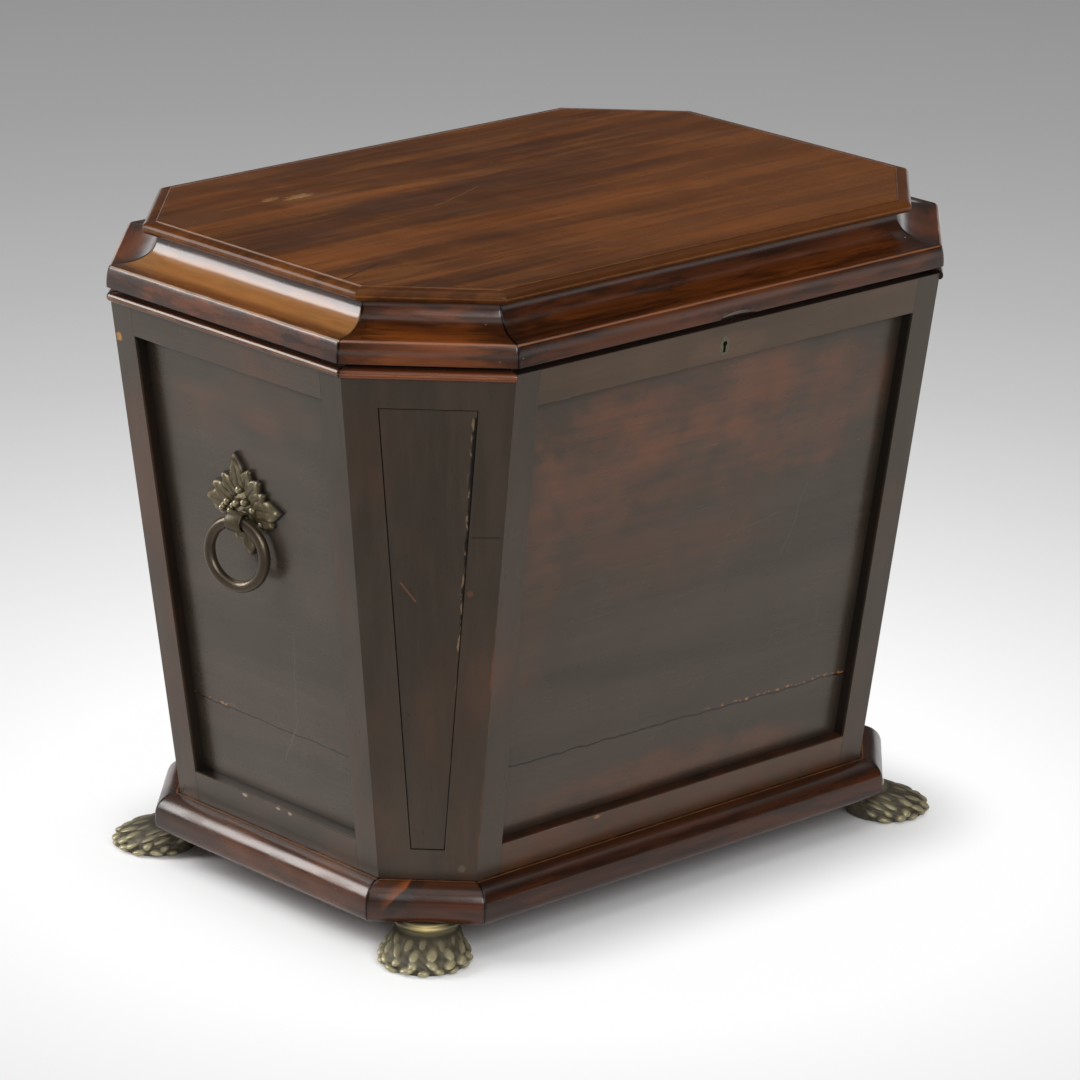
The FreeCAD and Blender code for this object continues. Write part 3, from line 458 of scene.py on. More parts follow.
LID_FOOT = 500
LID_SECTION = section(
    (-37, 541, 0), (-62, 541, 0.4), (-62, LID_FOOT, 0.4), (1.9, LID_FOOT, 0.5),
    through((1.88, 500.8), (1.7, 508.4), (0.25, 515.8), 20), (0, 516.8, 1.0), (-2.2, 518.2, 0.9),
    bend((-3.6, 518.3), (-36.2, 518.6), (-37, 539.5), 30),
)
BASE_SECTION = section(
    (3, 60, 0.8), (-44.7, 60, 0.4), (-44.7, 29, 0.4), (15.3, 29, 0.6),
    quarter((15.3, 36), (5, 7), -80, 0, 7), (20.3, 37, 0), (20.3, 42, 0),
    quarter((3, 43), (17.3, 17), 4, 84, 16),
)
BEAD_SECTION = section(
    (-10.9, 488, 0.3), (0, 488, 0), quarter((0, 491.75), (3.7, 3.75), -84, 84, 13),
    (0, 495.5, 0), (-10.0, 495.5, 0.3),
)
print("section points", len(LID_SECTION), len(BASE_SECTION), len(BEAD_SECTION))

# %% [markdown]
# ## From arrays to meshes
# A grid of points becomes a surface when each point is joined to its neighbours. The index of every
# square follows from its row and column, so the faces come from one sum of arrays as well. The sign of
# the enclosed volume tells whether the faces look out, and if it is negative every face is turned.

# %% Mesh making
def squares(rows, columns):
    """Corner numbers of the squares between rows of a grid whose last column joins its first."""
    row = np.arange(rows - 1)[:, None] * columns
    column = np.arange(columns)[None, :]
    after = (column + 1) % columns
    corners = [row + column, row + after, row + columns + after, row + columns + column]
    return np.stack(corners, -1).reshape(-1, 4)


def capped(rows, columns):
    """The same squares, with the first and the last row filled."""
    first = np.arange(columns)[None]
    return [squares(rows, columns), first, (rows - 1) * columns + first]


def looped(rows, columns):
    """The same squares, with the last row joined to the first."""
    return [squares(rows + 1, columns) % (rows * columns)]


def volume(points, faces):
    """Sum of the signed tetrahedra that the triangles of a fan over each face make with the origin."""
    total = 0.0
    for block in faces:
        for k in range(1, block.shape[1] - 1):
            a, b, c = points[block[:, 0]], points[block[:, k]], points[block[:, k + 1]]
            total += np.einsum("ij,ij->i", a, np.cross(b, c)).sum() / 6
    return total


def shell(points, join, **carried):
    """One closed shell: a grid of points, how its faces join them, and the numbers that they carry."""
    faces = join(*points.shape[:2])
    points = points.reshape(-1, 3)
    if volume(points - points.mean(0), faces) < 0:
        faces = [block[:, ::-1] for block in faces]
    return points, faces, carried


def piece(name, shells, body, finish, replaces, sharp=35.0):
    """One object from closed shells, with its finish, the body that it rides on and what it stands for."""
    starts = np.cumsum([0] + [len(points) for points, _, _ in shells])
    faces = [
        polygon for start, (_, blocks, _) in zip(starts, shells)
        for block in blocks for polygon in (block + start).tolist()
    ]
    mesh = bpy.data.meshes.new(name)
    mesh.from_pydata(np.concatenate([s[0] for s in shells]).tolist(), [], faces)
    for key in shells[0][2]:
        numbers = np.concatenate([s[2][key].reshape(len(s[0]), -1) for s in shells])
        kind, field = ("FLOAT", "value") if numbers.shape[1] == 1 else ("FLOAT_VECTOR", "vector")
        mesh.attributes.new(key, kind, "POINT").data.foreach_set(field, numbers.ravel())
    mesh.validate()
    mesh.shade_smooth()
    mesh.set_sharp_from_angle(angle=math.radians(sharp))
    made = added(name, mesh)
    mesh.materials.append(finish)
    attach(made, body)
    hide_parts(*replaces)
    return made


print("squares of a tube of 3 rings", len(looped(3, 8)[0]), "and with filled ends", len(capped(3, 8)[0]) + 2)

# %% [markdown]
# ## A length of moulding
# Hand-planed moulding isn't perfect. Its arrises are rubbed round, its face wanders by a tenth of a
# millimetre, and the mitres have opened a little as the wood shrank. So the outline moves in and out
# along its own normal as it travels, and each length stops just short of the mitre with soft ends.
# The mesh also carries what its finish needs: the way of the grain, how worn each point is, how far
# the nearest mitre lies and how warm this length is in colour.

# %% Carrying a section along a side
MITRE_GAP = 0.42 * MM
END_SOFT = 1.4 * MM
ENDS, ARRIS, FACE = 0.35, 0.16, 0.05    # how far each has worn back, in millimetres
SPACING = 9 * MM               # of the stations along a length
SCOOP_STATIONS = 31            # more of them where the scoop is cut
FASCIA_BACK = -10              # points of the outline further in than this stay uncut


def outward(outline):
    """Unit normals of a closed outline: its tangent turned a right angle, away from its middle."""
    tangent = np.roll(outline, -1, 0) - np.roll(outline, 1, 0)
    normal = np.stack([tangent[:, 1], -tangent[:, 0]], 1)
    area = np.sum(outline[:, 0] * np.roll(outline[:, 1], -1) - np.roll(outline[:, 0], -1) * outline[:, 1])
    return normal * np.sign(area) / np.linalg.norm(normal, axis=1)[:, None]


def nearness(outline, spots, reach):
    """1 at any of the spots of an outline, falling off as a bell with distance over reach."""
    gaps = np.linalg.norm(outline[:, None] - np.array(spots)[None], axis=2).min(1)
    return np.exp(-(gaps / reach) ** 2)


def moulding(distances, side, outline, spots, warmth, seed, scoop=None):
    """Outline (millimetres) carried along one side: place = normal (D + offset) + run * a + up * z."""
    slope = outward(outline)
    wear = nearness(outline, spots, 1.3)
    around = np.concatenate([[0], np.cumsum(np.linalg.norm(np.diff(outline, axis=0), axis=1))]) * MM
    offset = outline[:, 0] * MM
    low = meet(distances, side, -1) - offset * math.tan(TURN / 2)
    high = meet(distances, side, 1) + offset * math.tan(TURN / 2)
    inner = np.linspace(0, 1, int((high - low).mean() / SPACING) + 2)
    ends = np.array([0, 0.3, 0.8]) * END_SOFT
    stations = [(low + MITRE_GAP)[None] + ends[:, None]]
    if scoop:
        steps = np.linspace(-1.02, 1.02, SCOOP_STATIONS) * scoop[0] * MM
        stations.append(np.broadcast_to(steps[:, None], (SCOOP_STATIONS, len(outline))))
    middle = (low + MITRE_GAP + END_SOFT) + (high - low - 2 * (MITRE_GAP + END_SOFT)) * inner[:, None]
    stations += [middle, (high - MITRE_GAP)[None] - ends[::-1, None]]
    along = np.sort(np.concatenate(stations), axis=0)
    from_end = np.minimum(along - low, high - along)
    worn = ENDS * np.clip(1 - (from_end - MITRE_GAP) / END_SOFT, 0, 1) ** 2
    worn = worn + ARRIS * (0.5 + 0.5 * wave(along, seed)) * wear
    worn = worn + FACE * (1 + wave(along * 0.4, seed + around * 60))
    shift = -worn[..., None] * slope[None]
    flat = outline[None] + shift
    if scoop:
        half, tall, deep = scoop
        round_ = 1 - (along / (half * MM)) ** 2 - ((outline[None, :, 1] - LID_FOOT) / tall) ** 2
        cut = deep * np.sqrt(np.clip(round_, 0, 1)) * (outline[None, :, 0] > FASCIA_BACK)
        flat[..., 0] -= cut
    reach = distances[side] + flat[..., 0] * MM
    points = (
        NORMALS[side] * reach[..., None] + RUNS[side] * along[..., None]
        + UPWARDS * (flat[..., 1] * MM)[..., None]
    )
    grain = np.stack(np.broadcast_arrays(along + 0.9 * side, around, offset), -1)
    whole = np.ones(along.shape)
    return shell(points, capped, grain=grain, wear=wear * whole, from_end=from_end, warmth=warmth * whole)


print("lid's front length at the fascia", round(2 * meet(LID, FRONT, 1) / MM, 1), "mm")

# %% [markdown]
# ## Corner boards, stiles and rails
# These boards are flat, so their CAD shape is right except that real arrises are never sharp. A
# merged copy of each gets a fine bevel along its long edges. On rails and stiles the bevel takes its
# own finish, because that is just where polish is rubbed through and a thin pale line shows.

# %% Softening flat boards
WELD = 0.002 * MM              # corners nearer than this are one
SHORTEST = 12 * MM             # edges shorter than this stay sharp
BESIDE = 1.5 * MM              # an edge this near to the opening's outline belongs to it
FLAT, TURNED = math.radians(0.6), math.radians(20)


def recess_gaps(aside, z, foot_half):
    """How far a point of a wall is inside the opening's sides, foot and head; one is negative on the frame."""
    return (z - WALL_FOOT) * WALL_SLOPE + foot_half - abs(aside), z - RECESS_LOW, RECESS_HIGH - z


def softened(node, body, finish, arris_finish, width=0.6, recess=None, joints=0.25):
    """Merged copy of a CAD node with a bevel on every long edge sharper than 20 degrees."""
    made = added(node + "_worn", NODES[node].data.copy())
    dress(made, finish, arris_finish)
    work = bmesh.new()
    work.from_mesh(made.data)
    bmesh.ops.remove_doubles(work, verts=work.verts, dist=WELD)
    bmesh.ops.dissolve_limit(work, angle_limit=FLAT, verts=work.verts, edges=work.edges)
    weight = work.edges.layers.float.new("bevel_weight_edge")
    for edge in work.edges:
        turned = len(edge.link_faces) == 2 and edge.calc_face_angle(0.0) > TURNED
        rubbed = recess is None or all(
            abs(min(recess_gaps(vertex.co[recess[0]], vertex.co[2], recess[1]))) < BESIDE
            for vertex in edge.verts
        )
        edge[weight] = (1.0 if rubbed else joints) if turned and edge.calc_length() > SHORTEST else 0.0
        edge.smooth = not turned
    for polygon in work.faces:
        polygon.smooth = True
        polygon.material_index = 0
    work.to_mesh(made.data)
    work.free()
    bevel = made.modifiers.new("arris", "BEVEL")
    bevel.limit_method, bevel.width, bevel.segments = "WEIGHT", width * MM, 3
    bevel.harden_normals, bevel.material = True, 1
    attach(made, body)
    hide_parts(node)
    return made


print("front opening's half width at its head", round(recess_gaps(0, RECESS_HIGH, FRONT_OPENING)[0], 4))

# %% [markdown]
# ## The lid's top board
# The board is one surface of rings: its outline, read from the underside out to the nose and up to
# the quirk, gives the first rings, and smaller and smaller copies of the last one close the flat. A
# ring is the octagon of one offset with each corner turned in a few short steps. The flat is rubbed
# a little hollow, which only shows where a reflection bends.

# %% Lid top
LID_FACE = 552
RING_TURN = 0.9 * MM           # radius of the corners
RING_STEPS = 26                # points along each side, between the corners
HOLLOW, RUB = 0.30 * MM, 0.10 * MM    # how deep the flat and its edge are worn
TOP_SECTION = np.concatenate([
    [(-37, 541), (-33.5, 541.0)], quarter((-31.4, 545.95), (5.5, 4.9), -84, 90, 17),
    [(-34.0, 550.84), (-36.2, 550.8), (-36.4, 551.2), (-36.5, 551.7), (-36.8, 551.95), (-37.6, LID_FACE)],
])


def ring(distances, reach):
    """Points of the octagon whose sides lie a reach outside the given distances, its corners rounded."""
    far = np.array([meet(distances, side, 1) for side in range(8)]) + reach * math.tan(TURN / 2)
    corners = (NORMALS * (distances + reach)[:, None] + RUNS * far[:, None])[:, :2]
    curve, start, end = cornered(corners, RING_TURN, np.array([0, 0.5, 1]))
    t = np.linspace(0, 1, RING_STEPS + 2)[None, 1:-1, None]
    straight = end[:, None] + (np.roll(start, -1, 0) - end)[:, None] * t
    return np.concatenate([curve, straight], 1).reshape(-1, 2)


def lid_top():
    """Rings of the section, then copies of the last ring shrunk to the middle."""
    rings = np.stack([ring(LID, offset * MM) for offset in TOP_SECTION[:, 0]])
    levels = np.repeat(TOP_SECTION[:, 1:] * MM, rings.shape[1], 1)
    shrink = np.array([0.996, 0.988, *np.linspace(0.97, 0.03, 32)])
    inner = rings[-1][None] * shrink[:, None, None]
    hollow = HOLLOW * (1 - shrink[:, None] ** 6) * (
        0.6 + 0.2 * np.sin(inner[..., 0] * 13 + 1) + 0.2 * np.sin(inner[..., 1] * 19 + inner[..., 0] * 5)
    )
    flat = LID_FACE * MM - hollow
    ring_level = np.concatenate([levels, flat])
    plan = np.concatenate([rings, inner])
    rub = RUB * (1 + wave(plan[..., 0] + plan[..., 1] * 1.7, 2.0))
    worn = nearness(TOP_SECTION, [(-36.6, 551.8), (-26, 546)], 1.5)
    rub[:len(worn)] *= worn[:, None]
    rub[len(worn):] = 0
    points = np.concatenate([plan, (ring_level - rub)[..., None]], -1)
    columns = plan.shape[1]
    wear = np.concatenate([worn, np.exp(-((1 - shrink) * 120) ** 2)])
    edge = np.concatenate([np.ones(len(worn)), np.zeros(len(shrink))])
    return shell(points, capped, wear=np.repeat(wear, columns), edge=np.repeat(edge, columns))


print("rings of the lid's edge", len(TOP_SECTION))

# %% [markdown]
# ## Cast paws
# Each foot is one brass casting: a thin ring and a rounded collar under the chest, and a paw whose pad
# stands out beyond the corner. Every level of it is an ellipse with its own middle, width and length,
# so the middle walks outwards as the level falls. Hair covers the outer part in staggered rows of
# knobs, and the wax that has gathered between them is nearly black.

# %% Paw foot
ANKLE_X, ANKLE_Y = 241.58, 149.58
PAW_LEVELS = np.array([        # millimetres: level, middle's reach from the ankle, half width, half length
    (28.9, 0, 6, 6), (28.9, 0, 15, 15), (28.9, 0, 23.0, 23.0), (28.6, 0, 24.6, 24.6), (28.0, 0, 25.0, 25.0),
    (27.5, 0, 24.8, 24.8), (27.1, 0, 25.2, 25.2), (26.5, 0, 26.5, 26.5), (25.7, 0, 27.3, 27.3),
    (24.8, 0, 27.5, 27.5), (23.9, 0, 27.1, 27.1), (23.1, 0, 26.2, 26.2), (22.5, 0.5, 25.2, 25.2),
    (21.8, 1.6, 25.0, 25.8), (20.8, 4.4, 25.3, 27.2), (19.6, 7.6, 25.9, 28.6), (18.2, 11.2, 27.0, 29.8),
    (16.6, 14.8, 28.6, 30.8), (14.8, 18.4, 30.4, 31.8), (12.8, 21.8, 32.0, 32.8), (10.8, 24.4, 33.3, 33.6),
    (8.8, 26.4, 34.2, 34.0), (6.8, 27.8, 34.8, 34.2), (4.8, 28.6, 35.0, 34.2), (3.0, 28.8, 34.6, 33.8),
    (1.4, 28.8, 33.8, 33.2), (0.4, 28.8, 33.0, 32.6), (0.1, 28.8, 32.4, 32.2),
])
KNOB_ROWS = [                  # millimetres: level, how many, half width, half height, swell
    (18.2, 9, 2.9, 2.6, 2.1), (13.6, 9, 3.8, 3.2, 3.4), (8.2, 10, 4.4, 3.4, 4.2), (3.4, 10, 5.2, 3.3, 4.4),
]
HAIR, HAIR_TOP = 0.6, 20.6     # swell of the fine hair between the knobs, and where all hair ends
COLLAR_LOW, COLLAR_HIGH = 22.4, 28.2    # the collar, whose outer side carries a painted highlight of bright gold
PAW_RINGS, PAW_COLUMNS = 170, 240
SOLE, SOLE_LEVEL = (0.9, 0.6, 0.3, 0.05), 0.02    # shares of the last ring that close it underneath


def knobs(angle, level, mean, seed):
    """Swell of the strongest knob at each point: h sqrt(1 - (u/a)^2 - (v/b)^2) on the unrolled skin."""
    best = np.zeros_like(mean)
    for row, (middle, count, wide, tall, swell) in enumerate(KNOB_ROWS):
        turns = np.linspace(-105, 105, count) + (0.5 * (row % 2)) * 210 / (count - 1)
        turns = np.radians(turns + 2.5 * np.sin(turns * 1.3 + seed + row))
        for k, turn in enumerate(turns):
            bob = 0.7 * math.sin(3.1 * k + seed * 2 + row)
            size = 1 + 0.14 * math.sin(5.3 * k + seed + 2 * row)
            u = (angle - turn) * mean / (wide * size)
            v = (level - middle - bob) / tall
            lean = 0.45 * math.sin(2.1 * k + seed) * v
            round_ = np.clip(1 - (u + lean) ** 2 - v ** 2, 0, 1)
            best = np.maximum(best, swell * size * np.sqrt(round_) * (0.62 + 0.38 * math.cos(turn / 2) ** 2))
    return best


def paw(side, seed):
    """Closed casting: an ellipse at each level, pushed out by the knobs, round its own middle."""
    at = np.linspace(0, 1, len(PAW_LEVELS))
    steps = np.linspace(0, 1, PAW_RINGS)
    columns = [np.interp(steps, at, PAW_LEVELS[:, k]) for k in range(4)]
    kernel = np.array([1, 2, 3, 2, 1]) / 9
    level, middle, wide, long_ = (
        np.concatenate([v[:2], np.convolve(v, kernel, "valid"), v[-2:]])[:, None] for v in columns
    )
    angle = np.linspace(-math.pi, math.pi, PAW_COLUMNS, endpoint=False)[None, :]
    radius = 1 / np.sqrt((np.cos(angle) / long_) ** 2 + (np.sin(angle) / wide) ** 2)
    relief = knobs(angle, level, radius, seed)
    hair = 0.5 + 0.5 * np.sin(17 * angle + 0.55 * level + seed) * np.sin(0.9 * level + 3 * np.sin(5 * angle))
    relief = np.maximum(relief, HAIR * hair)
    relief *= np.clip((HAIR_TOP - level) / 1.6, 0, 1) * np.clip((level + 0.5) / 1.4, 0, 1)
    radius = radius + relief
    sole = np.array(SOLE)[:, None]
    radius = np.concatenate([radius, radius[-1:] * sole])
    level = np.concatenate([level, SOLE_LEVEL + 0 * sole])
    middle = np.concatenate([middle, middle[-1, 0] + 0 * sole])
    relief = np.concatenate([relief / 3.0, 0 * sole * angle])
    # Painted highlight: the collar's outer side is laid bright gold, standing for a lamp's reflection in it.
    lit = np.clip(1 - np.abs(angle) / 0.75, 0, 1)
    polish = np.clip((level - COLLAR_LOW) / 1.2, 0, 1) * np.clip((COLLAR_HIGH - level) / 0.8, 0, 1) * lit
    relief = np.maximum(relief, 0.50 * np.clip((level - HAIR_TOP) / 1.5, 0, 1) + 0 * radius)
    ankle = np.array([math.copysign(ANKLE_X, NORMALS[side, 0]), math.copysign(ANKLE_Y, NORMALS[side, 1]), 0])
    points = (
        ankle + NORMALS[side] * (middle + radius * np.cos(angle))[..., None]
        + RUNS[side] * (radius * np.sin(angle))[..., None]
        + UPWARDS * (level + 0 * radius)[..., None]
    ) * MM
    return shell(points, capped, relief=relief, polish=polish)


print("knobs of hair on one paw", sum(row[1] for row in KNOB_ROWS))

# %% [markdown]
# ## Handle plate
# The plate is a cast palmette on a low ground: leaflets that fan out from the eye, each with rounded
# lobes that stand up at its tip and sides, and small berries between them. One leaflet is a drop,
# x = L (1 + cos t) / 2 and y = W sin t sin(t / 2)^p, which is round at its root and narrow at its tip.
# Its dome rises towards the tip and falls steeply to a thin rim, where the glints and shadows are.

# %% Handle plate
PIVOT = np.array([308.481, 7.0, 332.31])
PLATE_DEPTH = 11.7             # recessed panel behind the ring's pivot, in millimetres
PLATE_TILT = math.atan((328 - 272.4) / 428)    # the end wall goes out from 272.4 to 328 mm in 428 mm


def handle_axes(side):
    """Pivot, and the directions out of the wall, to the right as seen from outside, and up the wall."""
    hand = -1.0 if side == LEFT else 1.0
    out = np.array([hand * math.cos(PLATE_TILT), 0, -math.sin(PLATE_TILT)])
    right = RUNS[side]
    return PIVOT * np.array([hand, 1, 1]), out, right, np.cross(out, right)


LEAFLETS = [                   # root (right, up), tip (right, up), half width, height of the dome, how pointed
    ((-2, 22), (-5.8, 55.5), 8.2, 6.0, 0.9), ((1, 24), (11.5, 43.5), 6.2, 5.4, 0.1),
    ((-5, 20), (-13.0, 38.0), 5.2, 4.4, 0.4), ((-8, 17), (-24.0, 34.0), 7.0, 5.4, 0.3),
    ((4, 17), (23.0, 36.0), 8.0, 5.6, 0.1), ((-13, 10), (-37.0, 23.5), 7.4, 5.4, 0.1),
    ((-14, 8), (-47.5, 9.0), 8.4, 4.8, 0.2), ((-16, 6), (-39.5, -0.5), 6.0, 3.2, 0.1),
    ((10, 12), (27.5, 26.5), 6.6, 5.8, 0.1), ((10, 10), (47.0, 15.0), 9.6, 6.0, 0.6),
    ((10, 7), (35.0, 0.5), 7.0, 3.8, 0.1), ((6, 2), (24.0, -8.5), 5.2, 2.1, 0.3),
    ((-5, 2), (-20.5, -9.0), 5.0, 2.0, 0.3), ((-1, -7), (-15.5, -20.5), 6.6, 3.4, 0.1),
    ((-2, -8), (2.0, -32.0), 8.4, 3.8, 0.3), ((0, -7), (10.0, -17.0), 5.8, 3.2, 0.1),
]
BERRIES = [                    # middle (right, up), radius, height
    ((-19.2, 10.3), 3.3, 7.6), ((-27.3, 2.6), 3.2, 6.8), ((-17.4, 2.4), 3.0, 6.4), ((-5.1, 12.6), 3.6, 9.6),
    ((-23.5, 6.4), 2.8, 7.2), ((12.2, 9.8), 3.2, 7.4), ((-1.9, 24.6), 3.4, 8.0), ((17.5, -2.0), 2.8, 4.2),
    ((-11.6, 8.8), 2.8, 7.6), ((4.4, 15.2), 3.4, 9.0),
]


def on_plate(axes, aside, above, level):
    """Points in metres from millimetres to the right of the pivot, up from it and out of the ground."""
    pivot, out, right, up = axes
    aside, above, level = (numbers[..., None] for numbers in (aside, above, level))
    return (pivot - out * PLATE_DEPTH + right * aside + up * above + out * level) * MM


def leaflet(axes, root, tip, half, height, point, base=1.3):
    """Closed lobed dome: rings shrink towards a spot near the root as the dome rises."""
    root, tip = np.array(root, float), np.array(tip, float)
    length = np.linalg.norm(tip - root)
    ahead = (tip - root) / length
    aside = np.array([-ahead[1], ahead[0]])
    t = circle(56)[None, :]
    lobes = np.cos(5 * t)
    x = length * (0.5 + 0.5 * np.cos(t))
    y = half * (1 + 0.3 * point) * np.sin(t) * np.abs(np.sin(t / 2)) ** point * (1 + 0.10 * lobes)
    shrink = np.array([1.0, 1.0, 0.985, 0.95, 0.89, 0.8, 0.69, 0.56, 0.42, 0.27, 0.12])[:, None]
    spot = 0.45 * length
    gx, gy = spot + (x - spot) * shrink, y * shrink
    rim = np.sqrt(np.clip(1 - shrink ** 5, 0, 1))
    level = base + (height - base) * rim * (0.60 + 0.40 * np.clip(gx / length, 0, 1) ** 1.4)
    swell = np.exp(-((shrink - 0.78) / 0.16) ** 2) * (0.5 + 0.5 * lobes)
    groove = np.exp(-(gy / 0.9) ** 2) * np.clip(1.05 - shrink, 0, 1)
    level = level + (0.20 * swell - 0.12 * groove) * (height - base)
    level[0] = 0.05
    plane = root + ahead * gx[..., None] + aside * gy[..., None]
    share = (level - base) / (height - base)
    # Relief tones on the plate are partly painted: darker low, for wax and painted shade between the lobes; paler
    # high, for rubbed brass and painted glints at the tips.
    relief = np.clip(1.1 * share - 0.35 + 0.2 * swell - 0.25 * groove - 0.45 * (shrink > 0.97), 0, 1)
    return shell(on_plate(axes, plane[..., 0], plane[..., 1], level), capped, relief=relief)


def berry(axes, middle, radii, height, crown=None):
    """Dome on a stalk, round or oval: radii * cos and crown * sin of one angle."""
    wide, tall = np.broadcast_to(radii, 2)
    crown = crown or wide
    t = circle(24)[None, :]
    rise = np.radians(np.array([-90, -40, 0, 20, 40, 58, 74, 86]))[:, None]
    share = np.cos(rise) + 0.01
    share[:3] = 1
    level = (height - crown) + crown * np.sin(rise)
    level[:2] = [[0.06], [0.4 * (height - crown)]]
    aside, above = middle[0] + wide * share * np.cos(t), middle[1] + tall * share * np.sin(t)
    relief = np.clip(0.35 + 0.6 * np.sin(rise), 0, 1) + 0 * t
    return shell(on_plate(axes, aside, above, level + 0 * t), capped, relief=relief)


print("leaflets", len(LEAFLETS), "berries", len(BERRIES))

# %% [markdown]
# ## Eye and ring
# The ring hangs in a knuckle, a short thick tube with a waist in its hole, which a turned post holds
# to the wall. Knuckle and post are profiles turned about an axis, as they would be on a lathe, and
# the ring is a torus. A perfect circle would look new, so its wire is a little uneven all round.

# %% Knuckle, post and ring
def turning(start, axis, profile, join, relief):
    """(distance along the axis, radius) turned about an axis through a start point; join as in shell."""
    axis = axis / np.linalg.norm(axis)
    side = np.cross(axis, [0.0, 0.3, 1.0])
    side /= np.linalg.norm(side)
    other = np.cross(axis, side)
    t = circle(48)[None, :, None]
    ahead, radius = (profile[:, k][:, None, None] for k in (0, 1))
    points = start + axis * ahead + radius * (np.cos(t) * side + np.sin(t) * other)
    return shell(points * MM, join, relief=np.full(points.shape[:2], relief))


RING_RADIUS, WIRE, YAW = 27.1, 4.9, math.radians(14)
KNUCKLE = (7.4, 7.0, 1.5)      # half length, middle radius and half thickness of the tube
HOLE, FLARE = 5.42, 0.028      # radius of its hole at the waist, and how fast it opens


def ring_axis(side):
    """Level line that the ring turns about, askew to the wall by the yaw."""
    return np.array([math.sin(YAW) * (-1 if side == LEFT else 1), math.cos(YAW), 0])


def handle_shells(side):
    """Ground, leaflets, berries, the knuckle that the ring hangs in, and the post through the wall."""
    axes = handle_axes(side)
    pivot, out = axes[:2]
    shells = [berry(axes, (-0.5, 12), (17, 21), 2.6, 1.6), berry(axes, (1.5, -6), (11, 12), 2.0, 1.4)]
    shells += [leaflet(axes, *numbers) for numbers in LEAFLETS] + [berry(axes, *numbers) for numbers in BERRIES]
    angle = circle(28)
    knuckle = np.stack([KNUCKLE[0] * np.sin(angle), KNUCKLE[1] + KNUCKLE[2] * np.cos(angle)], 1)
    knuckle[:, 1] = np.maximum(knuckle[:, 1], HOLE + FLARE * knuckle[:, 0] ** 2)
    shells.append(turning(pivot, ring_axis(side), knuckle, looped, 0.24))
    stem = np.array([
        (6.2, 4.6), (7.4, 4.8), (8.6, 7.2), (10.0, 7.6), (11.4, 7.0), (11.7, 3.5), (17.0, 3.5), (22.7, 3.4),
    ])
    shells.append(turning(pivot, -out, stem, capped, 0.3))
    return shells


def ring_shell(side):
    """Torus: hub + (R + w cos b) (axis cos a + up sin a) + facing w sin b, with a slightly uneven wire."""
    axis = ring_axis(side)
    facing = np.cross(axis, UPWARDS)
    hub = handle_axes(side)[0] - UPWARDS * RING_RADIUS
    a = circle(144)[:, None, None]
    b = circle(28)[None, :, None]
    wire = WIRE - 0.10 * (1 + np.sin(3 * a + 1)) - 0.03 * np.sin(11 * a)
    spoke = axis * np.cos(a) + UPWARDS * np.sin(a)
    points = hub + spoke * (RING_RADIUS + wire * np.cos(b)) + facing * wire * np.sin(b)
    return shell(points * MM, looped)


print("ring over its wire", 2 * (RING_RADIUS + WIRE), "mm")

# %% [markdown]
# ## The floor
# The chest stands on a plain white floor whose far part is grey. The floor is a disc of rings, and its
# tone depends only on how far a point is from the middle. To the lens it shows mostly that tone, but
# near the chest the paper's own light takes over, so the soft shadow under the base stays. In the
# polish its front shows dark, as it would where a studio's paper ends just short of the camera.

# %% Floor
FLOOR_GREYS = [                # distance from the middle in metres, share of white
    (0.0, 1.0), (0.45, 1.0), (0.55, 0.94), (0.76, 0.83), (1.04, 0.70), (1.36, 0.575), (1.75, 0.475), (2.2, 0.40),
    (2.6, 0.35), (3.0, 0.32), (3.4, 0.29), (5.0, FAR_GREY),
]
FOOTPRINT = (0.22, 0.14)       # half length and width of the box that the shadow is measured from


FLOOR_LEVEL = -0.3 * MM        # just under the paws, so that the soles don't lie in it
MIRROR_FRONT, MIRROR_BACK = 0.16, 0.85    # what the polish sees of the floor in front and behind


def floor_disc():
    """Rings r at angles t, (r cos t, r sin t), closed at the middle; the tone follows r."""
    reach = np.concatenate([np.linspace(0.05, 2, 60), np.linspace(2.1, 5, 30)])[:, None]
    t = circle(96)[None, :]
    points = np.stack([reach * np.cos(t), reach * np.sin(t), FLOOR_LEVEL + 0 * reach * t], -1)
    rows, columns = points.shape[:2]
    mesh = bpy.data.meshes.new("floor")
    faces = squares(rows, columns).tolist() + [np.arange(columns)[::-1].tolist()]
    mesh.from_pydata(points.reshape(-1, 3).tolist(), [], faces)
    share = np.repeat(np.interp(reach[:, 0], *zip(*FLOOR_GREYS)), columns)
    mesh.attributes.new("share", "FLOAT", "POINT").data.foreach_set("value", share)
    return mesh


def floor_finish():
    """Matt paper, mixed with its own tone for rays from the lens and with another for reflections."""
    finish = Finish("floor_paper")
    tone = finish.mix(finish.carried("share"), (0.0, 0.0, 0.0, 1), (1.0, 1.0, 1.0, 1))
    fibre = finish.clouds(0.004, 2.0)
    paper = finish.principled({
        "Base Color": tone, "Roughness": 0.9, "Normal": finish.bump(fibre, 0.02 * MM), "Specular IOR Level": 0.0,
    })
    x, y = finish.parts()[:2]
    beyond_x, beyond_y = (abs(x) - FOOTPRINT[0]).most(0.0), (abs(y) - FOOTPRINT[1]).most(0.0)
    apart = (beyond_x * beyond_x + beyond_y * beyond_y).root()
    lens, mirror = (
        finish.node("ShaderNodeLightPath", output=kind) for kind in ("Is Camera Ray", "Is Glossy Ray")
    )
    share = lens * apart.rise(0.04, 0.16) * 0.98 + mirror * apart.rise(0.05, 0.25) * 0.85
    behind = (x * 0.68 + y * 0.73).rise(-0.9, 0.4)
    mirrored = behind * (MIRROR_BACK - MIRROR_FRONT) + MIRROR_FRONT
    glow = finish.node("ShaderNodeEmission", inputs={"Color": finish.mix(lens, mirrored, tone), "Strength": 1.0})
    return finish.close(finish.node("ShaderNodeMixShader", inputs={0: share, 1: paper, 2: glow}))


floor = added("floor", floor_disc())
dress(floor, floor_finish())
print("floor faces", len(floor.data.polygons))

